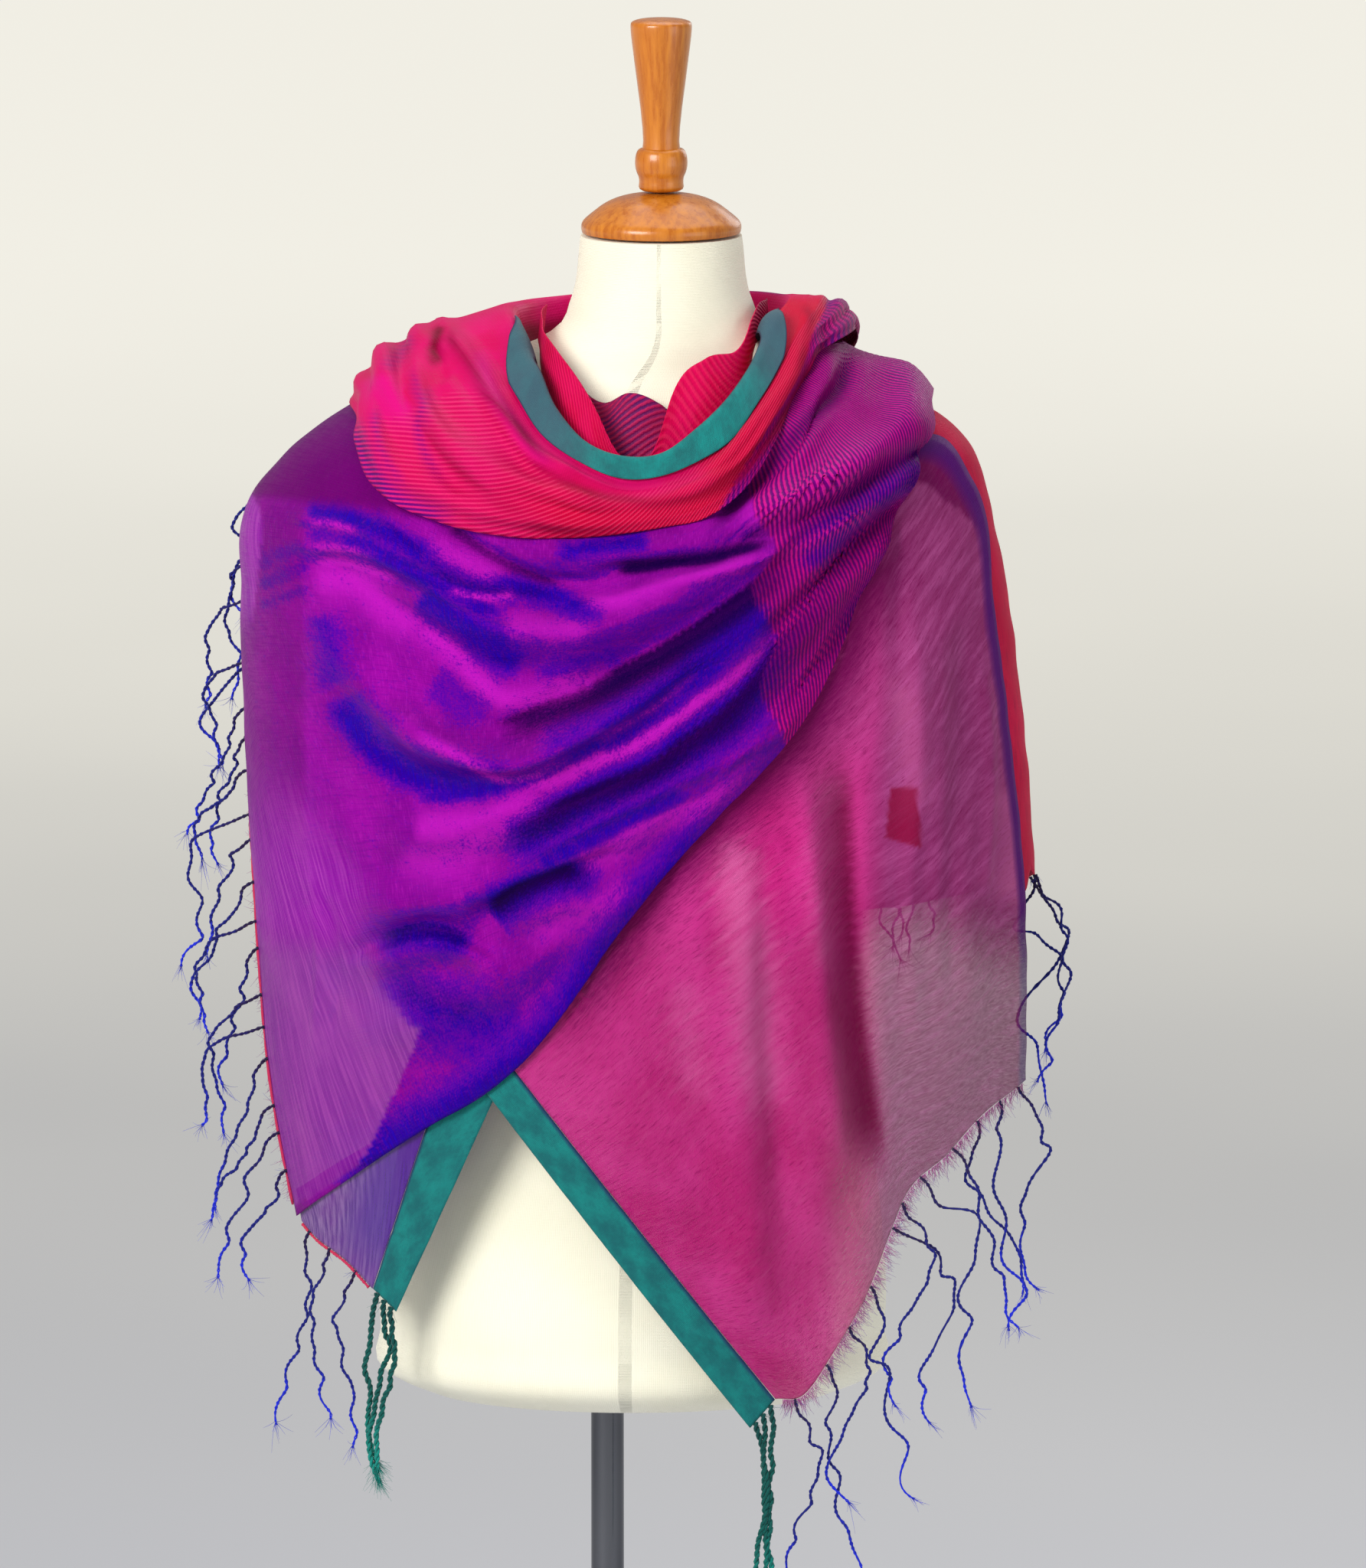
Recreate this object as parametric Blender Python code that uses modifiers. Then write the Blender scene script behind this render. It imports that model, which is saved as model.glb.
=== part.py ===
"""A handwoven silk scarf wound around a limbless dress form.

Metres, +Z up. The origin lies on the floor under the pole, +X is the wearer's left, and the front faces -Y.
Each stretch of cloth that shows is one wall, worked out from rings around the body and short tables.
"""
import math
from collections import namedtuple

import bpy
import bmesh
import numpy

# Cloth
WALL = 0.0012
SEAM = 0.0003
STRIP_GAP = 0.0004
UNDER_LIFT = 0.0027
PANEL_LIFT = 0.0046
PANEL_TOP_LIFT = 0.0018

# Fringe
STRAND = 0.0024
BRAID = 0.0040
HEADING = 0.003
HEADING_WALL = 0.0016
STRAND_STEPS = 5

# Dress form
NECK_X = 0.0345
NECK_TOP = 1.426
POLE_RADIUS = 0.0105
BASE_RADIUS = 0.150
BASE_EDGE = 0.010
BASE_TOP = 0.024
TORSO_BOTTOM = 0.690
TORSO_SIDES = 28
TURNED_SIDES = 28

# Grids of the cloths: columns around, rows down, and how closely the rows crowd to the top
WRAP_COLUMNS = 33
WRAP_ROWS = 19
WRAP_CROWD = 1.25
UNDER_COLUMNS = 6
UNDER_ROWS = 4
PANEL_COLUMNS = 16
PANEL_ROWS = 18
PANEL_CROWD = 1.25
BACK_COLUMNS = 29
BACK_ROWS = 10
BACK_CROWD = 1.8
FLAP_COLUMNS = 3
FLAP_ROWS = 4
STRIP_COLUMNS = 2
UNDER_STRIP_ROWS = 6
PANEL_STRIP_ROWS = 12
INNER_COLUMNS = 24
INNER_ROWS = 4
NECK_COLUMNS = 16
NECK_ROWS = 3

COLOURS = {
    "silk_purple": (0.32, 0.02, 0.36),
    "silk_lilac": (0.24, 0.05, 0.34),
    "silk_pink": (0.78, 0.02, 0.14),
    "silk_plum": (0.22, 0.01, 0.12),
    "silk_rose": (0.46, 0.06, 0.22),
    "silk_red": (0.55, 0.01, 0.05),
    "border_teal": (0.01, 0.19, 0.19),
    "thread_navy": (0.01, 0.01, 0.12),
    "form_cream": (0.88, 0.85, 0.72),
    "wood_honey": (0.50, 0.20, 0.04),
    "chrome": (0.60, 0.60, 0.62),
    "base_black": (0.03, 0.03, 0.03),
}

# The hanging cloth's rings around the body, by height
Ring = namedtuple("Ring", "height left right front back")
DRAPE = (
    Ring(0.560, -0.198, 0.236, 0.122, 0.116),
    Ring(0.700, -0.200, 0.247, 0.126, 0.118),
    Ring(0.809, -0.205, 0.262, 0.129, 0.119),
    Ring(0.885, -0.212, 0.271, 0.132, 0.118),
    Ring(1.000, -0.217, 0.272, 0.137, 0.116),
    Ring(1.059, -0.221, 0.268, 0.139, 0.117),
    Ring(1.134, -0.224, 0.261, 0.140, 0.118),
    Ring(1.203, -0.225, 0.252, 0.134, 0.117),
    Ring(1.261, -0.219, 0.240, 0.125, 0.112),
    Ring(1.280, -0.205, 0.235, 0.120, 0.108),
    Ring(1.297, -0.188, 0.227, 0.113, 0.104),
    Ring(1.313, -0.166, 0.209, 0.100, 0.097),
    Ring(1.335, -0.125, 0.165, 0.080, 0.084),
    Ring(1.365, -0.066, 0.126, 0.064, 0.070),
    Ring(1.385, -0.030, 0.098, 0.059, 0.062),
    Ring(1.430, -0.016, 0.085, 0.052, 0.052),
)

TORSO = (
    Ring(0.690, -0.115, 0.147, 0.082, 0.082),
    Ring(0.700, -0.138, 0.170, 0.101, 0.100),
    Ring(0.730, -0.144, 0.176, 0.107, 0.106),
    Ring(0.800, -0.140, 0.174, 0.103, 0.107),
    Ring(0.900, -0.120, 0.160, 0.093, 0.095),
    Ring(1.000, -0.107, 0.153, 0.087, 0.084),
    Ring(1.080, -0.116, 0.162, 0.096, 0.087),
    Ring(1.160, -0.138, 0.180, 0.105, 0.094),
    Ring(1.220, -0.160, 0.198, 0.105, 0.098),
    Ring(1.260, -0.182, 0.212, 0.098, 0.100),
    Ring(1.283, -0.188, 0.215, 0.088, 0.099),
    Ring(1.300, -0.177, 0.2110, 0.081, 0.096),
    Ring(1.313, -0.1605, 0.2020, 0.074, 0.0925),
    Ring(1.335, -0.1175, 0.1580, 0.062, 0.0795),
    Ring(1.346, -0.088, 0.140, 0.0565, 0.0720),
    Ring(1.356, -0.052, 0.115, 0.0555, 0.0660),
    Ring(1.368, -0.031, 0.100, 0.0550, 0.0600),
    Ring(1.385, -0.0225, 0.0915, 0.0545, 0.0550),
    Ring(NECK_TOP, -0.016, 0.085, 0.0505, 0.0505),
)

# The front wrap between its upper line, under the cowl, and the fold that crosses the front.
# x and height are seen from the front, lift stands off the rings, behind turns past the side in degrees.
WrapRow = namedtuple("WrapRow", "along top_x top_height top_lift top_behind "
                                "low_x low_height low_lift low_behind")
WRAP = (
    WrapRow(0.00, -0.224, 1.282, 0.0050, 24, -0.196, 0.809, 0.0050, 0),
    WrapRow(0.05, -0.230, 1.298, 0.0050, 18, -0.184, 0.821, 0.0050, 0),
    WrapRow(0.12, -0.220, 1.312, 0.0050, 13, -0.162, 0.840, 0.0050, 0),
    WrapRow(0.20, -0.162, 1.320, 0.0045, 11, -0.132, 0.864, 0.0050, 0),
    WrapRow(0.27, -0.138, 1.322, 0.0040, 4, -0.104, 0.884, 0.0050, 0),
    WrapRow(0.33, -0.118, 1.314, 0.0040, 0, -0.076, 0.902, 0.0052, 0),
    WrapRow(0.40, -0.090, 1.290, 0.0040, 0, -0.046, 0.930, 0.0054, 0),
    WrapRow(0.48, -0.045, 1.276, 0.0040, 0, -0.016, 0.970, 0.0055, 0),
    WrapRow(0.55, 0.000, 1.273, 0.0040, 0, 0.012, 1.013, 0.0055, 0),
    WrapRow(0.62, 0.035, 1.278, 0.0040, 0, 0.041, 1.050, 0.0058, 0),
    WrapRow(0.68, 0.062, 1.288, 0.0045, 0, 0.070, 1.082, 0.0060, 0),
    WrapRow(0.74, 0.083, 1.305, 0.0060, 0, 0.098, 1.111, 0.0064, 0),
    WrapRow(0.80, 0.098, 1.324, 0.0080, 0, 0.125, 1.144, 0.0072, 0),
    WrapRow(0.86, 0.108, 1.341, 0.0099, 0, 0.150, 1.191, 0.0085, 0),
    WrapRow(0.92, 0.119, 1.352, 0.0120, 0, 0.172, 1.242, 0.0105, 0),
    WrapRow(0.97, 0.128, 1.361, 0.0150, 0, 0.190, 1.285, 0.0120, 0),
    WrapRow(1.00, 0.138, 1.360, 0.0140, 0, 0.198, 1.308, 0.0130, 0),
    WrapRow(1.04, 0.144, 1.359, 0.0125, 0, 0.1985, 1.322, 0.0145, 0),
    WrapRow(1.08, 0.150, 1.356, 0.0120, 14, 0.210, 1.329, 0.0120, 2),
    WrapRow(1.14, 0.150, 1.350, 0.0028, 38, 0.210, 1.326, 0.0028, 26),
)
SHOULDER_BULGE = 0.009

# Folds of the wrap and the panel: a soft ridge along a path of front-view points
Ridge = namedtuple("Ridge", "height width path")
WRAP_RIDGES = (
    Ridge(0.020, 0.019, ((-0.195, 1.225), (-0.150, 1.150), (-0.104, 1.123), (-0.060, 1.114), (-0.015, 1.132),
                         (0.050, 1.174), (0.095, 1.210), (0.132, 1.254), (0.156, 1.308))),
    Ridge(0.015, 0.016, ((-0.170, 1.060), (-0.104, 1.066), (-0.050, 1.080), (0.000, 1.100), (0.043, 1.128),
                         (0.085, 1.161), (0.120, 1.200), (0.148, 1.248), (0.166, 1.290))),
    Ridge(0.014, 0.014, ((-0.165, 1.268), (-0.123, 1.232), (-0.074, 1.203), (-0.025, 1.194), (0.023, 1.209),
                         (0.067, 1.232), (0.106, 1.256), (0.145, 1.296), (0.165, 1.335))),
    Ridge(0.010, 0.011, ((-0.084, 1.254), (-0.035, 1.244), (0.013, 1.244), (0.062, 1.254), (0.092, 1.268),
                         (0.118, 1.300), (0.136, 1.338), (0.146, 1.362))),
    Ridge(0.011, 0.016, ((-0.190, 1.022), (-0.130, 1.022), (-0.065, 1.036), (-0.006, 1.062), (0.043, 1.094),
                         (0.087, 1.130), (0.121, 1.160))),
    Ridge(0.007, 0.010, ((-0.150, 0.978), (-0.105, 0.996), (-0.060, 0.988))),
    Ridge(0.007, 0.010, ((-0.065, 1.008), (-0.025, 1.028), (0.012, 1.032))),
    Ridge(0.007, 0.016, ((-0.162, 0.931), (-0.104, 0.954), (-0.045, 0.991), (0.004, 1.026), (0.038, 1.056))),
    Ridge(0.006, 0.010, ((-0.165, 0.845), (-0.100, 0.895), (-0.040, 0.945), (0.000, 1.008), (0.060, 1.082),
                         (0.108, 1.137), (0.140, 1.200), (0.160, 1.245))),
)
PANEL_RIDGES = (
    Ridge(0.011, 0.016, ((0.092, 0.735), (0.088, 0.850), (0.083, 0.950), (0.090, 1.060))),
    Ridge(0.007, 0.018, ((0.135, 0.775), (0.130, 0.880), (0.124, 0.980), (0.128, 1.080))),
    Ridge(0.012, 0.024, ((0.222, 0.880), (0.212, 1.000), (0.200, 1.120), (0.192, 1.220))),
)

# The sheer panel on the wearer's left: its hidden upper side, its fringed side and its fold at the flank
PanelRow = namedtuple("PanelRow", "along top_x top_height low_x low_height")
PANEL = (
    PanelRow(0.00, -0.062, 0.926, 0.106, 0.708),
    PanelRow(0.12, -0.034, 0.964, 0.124, 0.710),
    PanelRow(0.25, -0.002, 1.018, 0.146, 0.742),
    PanelRow(0.38, 0.028, 1.056, 0.164, 0.774),
    PanelRow(0.50, 0.063, 1.095, 0.177, 0.808),
    PanelRow(0.62, 0.098, 1.130, 0.190, 0.838),
    PanelRow(0.75, 0.130, 1.175, 0.213, 0.857),
    PanelRow(0.87, 0.153, 1.232, 0.236, 0.880),
    PanelRow(1.00, 0.182, 1.309, 0.264, 0.896),
)
FoldRow = namedtuple("FoldRow", "down x height")
PANEL_FOLD = (
    FoldRow(0.00, 0.182, 1.309),
    FoldRow(0.06, 0.211, 1.304),
    FoldRow(0.12, 0.229, 1.278),
    FoldRow(0.30, 0.243, 1.195),
    FoldRow(0.50, 0.253, 1.115),
    FoldRow(0.70, 0.262, 1.030),
    FoldRow(0.85, 0.264, 0.963),
    FoldRow(1.00, 0.264, 0.896),
)
PANEL_CORNER_OUT = (0.090, 0.690)
PANEL_TUCK_OUT = (-0.080, 0.911)

# The corner that hangs out under the wrap on the wearer's right
UNDER = (
    PanelRow(0.00, -0.196, 0.826, -0.1925, 0.806),
    PanelRow(0.35, -0.168, 0.850, -0.182, 0.797),
    PanelRow(0.70, -0.136, 0.873, -0.163, 0.786),
    PanelRow(1.00, -0.108, 0.893, -0.147, 0.771),
)
UNDER_CORNER_OUT = (-0.132, 0.758)
UNDER_TUCK_OUT = (-0.066, 0.908)

# The back layer: where it starts, ends and how low it hangs, by the turn around the body in degrees
BackRow = namedtuple("BackRow", "turn top low")
BACK = (
    BackRow(63, 1.294, 1.215),
    BackRow(69, 1.318, 1.060),
    BackRow(82, 1.327, 1.026),
    BackRow(95, 1.338, 1.018),
    BackRow(120, 1.342, 1.000),
    BackRow(150, 1.342, 0.975),
    BackRow(180, 1.342, 0.962),
    BackRow(210, 1.342, 0.975),
    BackRow(240, 1.337, 1.005),
    BackRow(254, 1.322, 1.024),
    BackRow(264, 1.298, 1.045),
)
BACK_FOLDS = 5
BACK_FOLD_HEIGHT = 0.018
BACK_FOLD_START = 105
BACK_FOLD_END = 250

# The cowl around the neck: its hem on the wrap, the line where its border starts, and its rim
CowlRow = namedtuple("CowlRow", "turn hem_x hem_height hem_lift hem_behind band_reach band_height "
                                "rim_reach rim_height bulge")
COWL = (
    CowlRow(-180, -0.205, 1.306, 0.0085, 90, 0.094, 1.366, 0.078, 1.386, 0.10),
    CowlRow(-140, -0.190, 1.316, 0.0085, 48, 0.110, 1.364, 0.084, 1.384, 0.08),
    CowlRow(-110, -0.174, 1.325, 0.0095, 20, 0.124, 1.368, 0.088, 1.384, 0.05),
    CowlRow(-90, -0.158, 1.320, 0.0125, 0, 0.132, 1.371, 0.092, 1.384, 0.05),
    CowlRow(-73, -0.156, 1.304, 0.0130, 0, 0.120, 1.366, 0.094, 1.378, 0.09),
    CowlRow(-60, -0.143, 1.280, 0.0105, 0, 0.115, 1.350, 0.099, 1.362, 0.12),
    CowlRow(-46, -0.098, 1.260, 0.0099, 0, 0.125, 1.335, 0.105, 1.353, 0.14),
    CowlRow(-35, -0.058, 1.254, 0.0099, 0, 0.129, 1.313, 0.114, 1.332, 0.16),
    CowlRow(-23, -0.022, 1.254, 0.0099, 0, 0.127, 1.297, 0.1195, 1.312, 0.18),
    CowlRow(-12, 0.005, 1.256, 0.0099, 0, 0.124, 1.288, 0.118, 1.304, 0.18),
    CowlRow(0, 0.033, 1.260, 0.0099, 0, 0.120, 1.289, 0.113, 1.305, 0.18),
    CowlRow(12, 0.060, 1.266, 0.0099, 0, 0.117, 1.298, 0.107, 1.320, 0.18),
    CowlRow(22, 0.082, 1.281, 0.0105, 0, 0.115, 1.309, 0.101, 1.334, 0.16),
    CowlRow(35, 0.105, 1.310, 0.0135, 0, 0.108, 1.333, 0.093, 1.352, 0.14),
    CowlRow(54, 0.123, 1.340, 0.0185, 0, 0.097, 1.360, 0.080, 1.373, 0.12),
    CowlRow(71, 0.134, 1.360, 0.0280, 0, 0.091, 1.376, 0.076, 1.382, 0.12),
    CowlRow(90, 0.160, 1.367, 0.0295, 6, 0.092, 1.388, 0.079, 1.388, 0.12),
    CowlRow(115, 0.178, 1.346, 0.0215, 30, 0.098, 1.378, 0.080, 1.387, 0.12),
    CowlRow(145, 0.215, 1.318, 0.0120, 58, 0.096, 1.370, 0.079, 1.386, 0.12),
    CowlRow(180, 0.235, 1.306, 0.0085, 90, 0.094, 1.366, 0.078, 1.386, 0.10),
)
COWL_OPEN_TURN = 60
COWL_CLOSED_TURN = 80
COWL_COLUMNS = 45
BORDER_TURN = 76
BORDER_COLUMNS = 19
BORDER_ROWS = 5
BORDER_SINKS = 48
BORDER_SINK_LIFT = 0.0045
RIM_ROUND = 0.30
COWL_ROWS = 12
COWL_RIM_ROW = 10
COWL_TAIL = (-0.007, -0.014)

# Concentric folds of the cowl: how far up each lies at the left, front, right and back
CowlFold = namedtuple("CowlFold", "left front right back height width")
COWL_FOLD_ROOM = (0.028, 0.050)
COWL_FOLDS = (
    CowlFold(0.18, 0.16, 0.20, 0.20, 0.007, 0.10),
    CowlFold(0.46, 0.46, 0.50, 0.50, 0.009, 0.11),
    CowlFold(0.78, 0.80, 0.80, 0.80, 0.006, 0.09),
)

# Inner stretches of the winding, by the turn around the neck: upper and lower lines
LayerRow = namedtuple("LayerRow", "turn top_reach top_height low_reach low_height")
COWL_INNER = (
    LayerRow(-105, 0.0745, 1.380, 0.0758, 1.370),
    LayerRow(-70, 0.079, 1.374, 0.080, 1.362),
    LayerRow(-60, 0.085, 1.371, 0.086, 1.354),
    LayerRow(-45, 0.091, 1.361, 0.095, 1.334),
    LayerRow(-30, 0.098, 1.342, 0.106, 1.312),
    LayerRow(-23, 0.104, 1.329, 0.111, 1.298),
    LayerRow(-14, 0.107, 1.302, 0.110, 1.288),
    LayerRow(-4, 0.103, 1.300, 0.106, 1.286),
    LayerRow(5, 0.086, 1.338, 0.100, 1.294),
    LayerRow(20, 0.081, 1.358, 0.093, 1.314),
    LayerRow(36, 0.079, 1.361, 0.084, 1.336),
    LayerRow(55, 0.0690, 1.378, 0.0700, 1.364),
    LayerRow(70, 0.0642, 1.384, 0.0647, 1.373),
    LayerRow(105, 0.0685, 1.384, 0.0695, 1.374),
)
NECK_INNER = (
    LayerRow(-52, 0.083, 1.358, 0.089, 1.343),
    LayerRow(-43, 0.084, 1.347, 0.089, 1.328),
    LayerRow(-25, 0.081, 1.330, 0.0905, 1.302),
    LayerRow(-16, 0.078, 1.336, 0.088, 1.298),
    LayerRow(0, 0.075, 1.329, 0.0845, 1.298),
    LayerRow(9, 0.075, 1.320, 0.0845, 1.299),
    LayerRow(22, 0.073, 1.338, 0.085, 1.306),
    LayerRow(38, 0.071, 1.352, 0.081, 1.332),
)

# Small red end seen through the sheer panel
FLAP_GAP = 0.0014
FLAP_TOP = ((0.174, 1.094), (0.191, 1.094))
FLAP_LOW = ((0.171, 1.055), (0.197, 1.055))

# Loose strands: where each grows, how long it hangs, and how far and which way it swings out
Strand = namedtuple("Strand", "at length reach heading curl")
STRAND_CURL = 0.035

# Each fringe: its stretch of the cloth's edge, where strands grow, and their sizes, taken in turn
Fringe = namedtuple("Fringe", "start end places lengths reaches headings")
LEFT_STRANDS = 20
LEFT_FIRST = 0.04
LEFT_SPACING = 0.0475
LEFT_SHIFT = 0.008
LEFT_PLACES = [LEFT_FIRST + LEFT_SPACING * index + LEFT_SHIFT * math.sin(2.3 * index)
               for index in range(LEFT_STRANDS)]
THIRDS = (0.20, 0.50, 0.80)
FRINGE_LEFT = Fringe(0.015, 0.985, LEFT_PLACES, (0.085, 0.060, 0.098, 0.075, 0.092, 0.068, 0.088),
                     (0.036, 0.022, 0.030, 0.042, 0.026, 0.032), (0,))
FRINGE_LOW = Fringe(0.05, 0.95, THIRDS, (0.120, 0.105, 0.110), (0.016, 0.012, 0.010), (0, 30, 10))
TASSEL_LEFT = Fringe(0.02, 0.98, THIRDS, (0.105, 0.112, 0.100), (0.004,), (20,))
FRINGE_RIGHT = Fringe(0.03, 0.995, (0.08, 0.20, 0.29, 0.39, 0.52, 0.58, 0.66, 0.77, 0.85, 0.92, 0.975),
                      (0.125, 0.140, 0.110, 0.130, 0.120),
                      (0.012, 0.016, 0.012, 0.020, 0.030, 0.014, 0.034, 0.038),
                      (20, 50, -20, 30, 55, -10, 40))
TASSEL_RIGHT = Fringe(0.02, 0.98, THIRDS, (0.124, 0.128, 0.125), (0.004,), (-10,))
FRINGE_BACK = Fringe(0.12, 0.20, (0.135, 0.157, 0.180), (0.130, 0.110, 0.140), (0.010, 0.006, 0.012),
                     (0, 10, -10))
FRINGE_FLAP = Fringe(0.02, 0.98, (0.1, 0.3, 0.5, 0.7, 0.9), (0.060, 0.052, 0.068), (0.006, 0.010, 0.008),
                     (180, 170, 190))


def read(rows, at):
    """Columns of a table, after its first one, where the first one has the values `at`, joined smoothly."""
    table = numpy.array(rows, dtype=float)
    keys = table[:, 0]
    values = table[:, 1:]
    steps = numpy.diff(keys)
    slopes = numpy.diff(values, axis=0) / steps[:, None]
    before = steps[:-1, None]
    after = steps[1:, None]
    inner = (slopes[:-1] * after + slopes[1:] * before) / (before + after)
    tangents = numpy.vstack([slopes[:1], inner, slopes[-1:]])
    at = numpy.clip(at, keys[0], keys[-1])
    cell = numpy.clip(numpy.searchsorted(keys, at, side="right") - 1, 0, len(keys) - 2)
    step = steps[cell][..., None]
    part = (at - keys[cell])[..., None] / step
    start = values[cell] * (2 * part ** 3 - 3 * part ** 2 + 1)
    end = values[cell + 1] * (3 * part ** 2 - 2 * part ** 3)
    leave = tangents[cell] * step * (part ** 3 - 2 * part ** 2 + part)
    arrive = tangents[cell + 1] * step * (part ** 3 - part ** 2)
    return numpy.moveaxis(start + end + leave + arrive, -1, 0)


def mix(start, end, part):
    return start + (end - start) * part


def ease(value):
    value = numpy.clip(value, 0.0, 1.0)
    return value * value * (3.0 - 2.0 * value)


def stack(x, y, z):
    return numpy.stack(numpy.broadcast_arrays(x, y, z), axis=-1)


def on_ring(rings, turn, height, lift):
    """Points on the rings at a turn from the front, in radians, moved out by lift."""
    left, right, front, back = read(rings, height)
    depth = numpy.where(numpy.cos(turn) > 0.0, front, back)
    x = (left + right) / 2 + ((right - left) / 2 + lift) * numpy.sin(turn)
    y = -(depth + lift) * numpy.cos(turn)
    return stack(x, y, height)


def turn_at(rings, x, height, lift, behind=0.0):
    """The turn at which a ring has this x on its front half, and then further round the side."""
    left, right, front, back = read(rings, height)
    share = (x - (left + right) / 2) / ((right - left) / 2 + lift)
    turn = numpy.arcsin(numpy.clip(share, -1.0, 1.0))
    return turn + numpy.sign(turn) * numpy.radians(behind)


def around_neck(turn, reach, height):
    """Points at a turn around the neck, in radians, and a distance from its axis."""
    return stack(NECK_X + reach * numpy.sin(turn), -reach * numpy.cos(turn), height)


def outward(surface, u, v, step=0.004):
    """Unit normals of a surface whose u runs to the right and whose v runs down, seen from outside."""
    along = surface(u + step, v) - surface(u - step, v)
    down = surface(u, v + step) - surface(u, v - step)
    normals = numpy.cross(down, along)
    return normals / numpy.linalg.norm(normals, axis=-1, keepdims=True)


def relief(ridges, points):
    """How far the ridges raise the cloth at these points, by their distance seen from the front."""
    total = numpy.zeros(points.shape[:-1])
    for ridge in ridges:
        count = len(ridge.path)
        knots = [(index,) + place for index, place in enumerate(ridge.path)]
        spot = numpy.linspace(0, count - 1, 12 * count)
        x, height = read(knots, spot)
        ends = ease(4.0 * numpy.minimum(spot, count - 1 - spot) / (count - 1))
        distance = (points[..., 0, None] - x) ** 2 + (points[..., 2, None] - height) ** 2
        total += ridge.height * numpy.max(ends * numpy.exp(-distance / ridge.width ** 2), axis=-1)
    return total


def folded(base, ridges):
    """The base surface with its ridges raised outwards."""
    def surface(u, v):
        points = base(u, v)
        return points + outward(base, u, v) * relief(ridges, points)[..., None]
    return surface


def wrap_base(u, v):
    along = u * WRAP[-1].along
    top_x, top_height, top_lift, top_behind, low_x, low_height, low_lift, low_behind = read(WRAP, along)
    top_turn = turn_at(DRAPE, top_x, top_height, top_lift, top_behind)
    low_turn = turn_at(DRAPE, low_x, low_height, low_lift, low_behind)
    bulge = SHOULDER_BULGE * ease((along - 0.80) / 0.2) * ease((WRAP[-1].along - along) / 0.1)
    lift = mix(top_lift, low_lift, v) + 4.0 * v * (1.0 - v) * bulge
    return on_ring(DRAPE, mix(top_turn, low_turn, v), mix(top_height, low_height, v), lift)


def under_base(u, v):
    top_x, top_height, low_x, low_height = read(UNDER, u)
    height = mix(top_height, low_height, v)
    turn = turn_at(DRAPE, mix(top_x, low_x, v), height, UNDER_LIFT)
    return on_ring(DRAPE, turn, height, UNDER_LIFT)


def panel_base(u, v):
    """A patch between four lines, blended in the front view and laid on the rings."""
    top_x, top_height, low_x, low_height = read(PANEL, u)
    fold_x, fold_height = read(PANEL_FOLD, v)
    top = stack(top_x, 0.0, top_height)
    low = stack(low_x, 0.0, low_height)
    start = PANEL[0]
    end = PANEL[-1]
    left = stack(mix(start.top_x, start.low_x, v), 0.0, mix(start.top_height, start.low_height, v))
    right = stack(fold_x, 0.0, fold_height)
    u = numpy.asarray(u)[..., None]
    v = numpy.asarray(v)[..., None]
    upper_left = numpy.array((start.top_x, 0.0, start.top_height))
    lower_left = numpy.array((start.low_x, 0.0, start.low_height))
    upper_right = numpy.array((end.top_x, 0.0, end.top_height))
    lower_right = numpy.array((end.low_x, 0.0, end.low_height))
    corners = mix(mix(upper_left, upper_right, u), mix(lower_left, lower_right, u), v)
    place = mix(top, low, v) + mix(left, right, u) - corners
    height = place[..., 2]
    lift = PANEL_LIFT + PANEL_TOP_LIFT * ease((height - 1.18) / 0.09)
    return on_ring(DRAPE, turn_at(DRAPE, place[..., 0], height, lift), height, lift)


def strip_base(inner_top, inner_low, outer_top, outer_low, lift):
    """A border strip on the rings between two straight lines, its u across and its v along."""
    def surface(u, v):
        x = mix(mix(inner_top[0], inner_low[0], v), mix(outer_top[0], outer_low[0], v), u)
        height = mix(mix(inner_top[1], inner_low[1], v), mix(outer_top[1], outer_low[1], v), u)
        return on_ring(DRAPE, turn_at(DRAPE, x, height, lift), height, lift)
    return surface


def flap_base(u, v):
    lift = PANEL_LIFT - WALL - FLAP_GAP
    x = mix(mix(FLAP_TOP[0][0], FLAP_TOP[1][0], u), mix(FLAP_LOW[0][0], FLAP_LOW[1][0], u), v)
    height = mix(FLAP_TOP[0][1], FLAP_LOW[0][1], v)
    return on_ring(DRAPE, turn_at(DRAPE, x, height, lift), height, lift)


def back_base(u, v):
    turn = mix(BACK[0].turn, BACK[-1].turn, u)
    top, low = read(BACK, turn)
    height = mix(top, low, v)
    part = numpy.clip((turn - BACK_FOLD_START) / (BACK_FOLD_END - BACK_FOLD_START), 0.0, 1.0)
    hang = ease((1.30 - height) / 0.15) * ease(4.0 * numpy.minimum(part, 1.0 - part))
    ripple = 0.5 - 0.5 * numpy.cos(2.0 * math.pi * BACK_FOLDS * part)
    return on_ring(DRAPE, numpy.radians(turn), height, BACK_FOLD_HEIGHT * hang * ripple)


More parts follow.
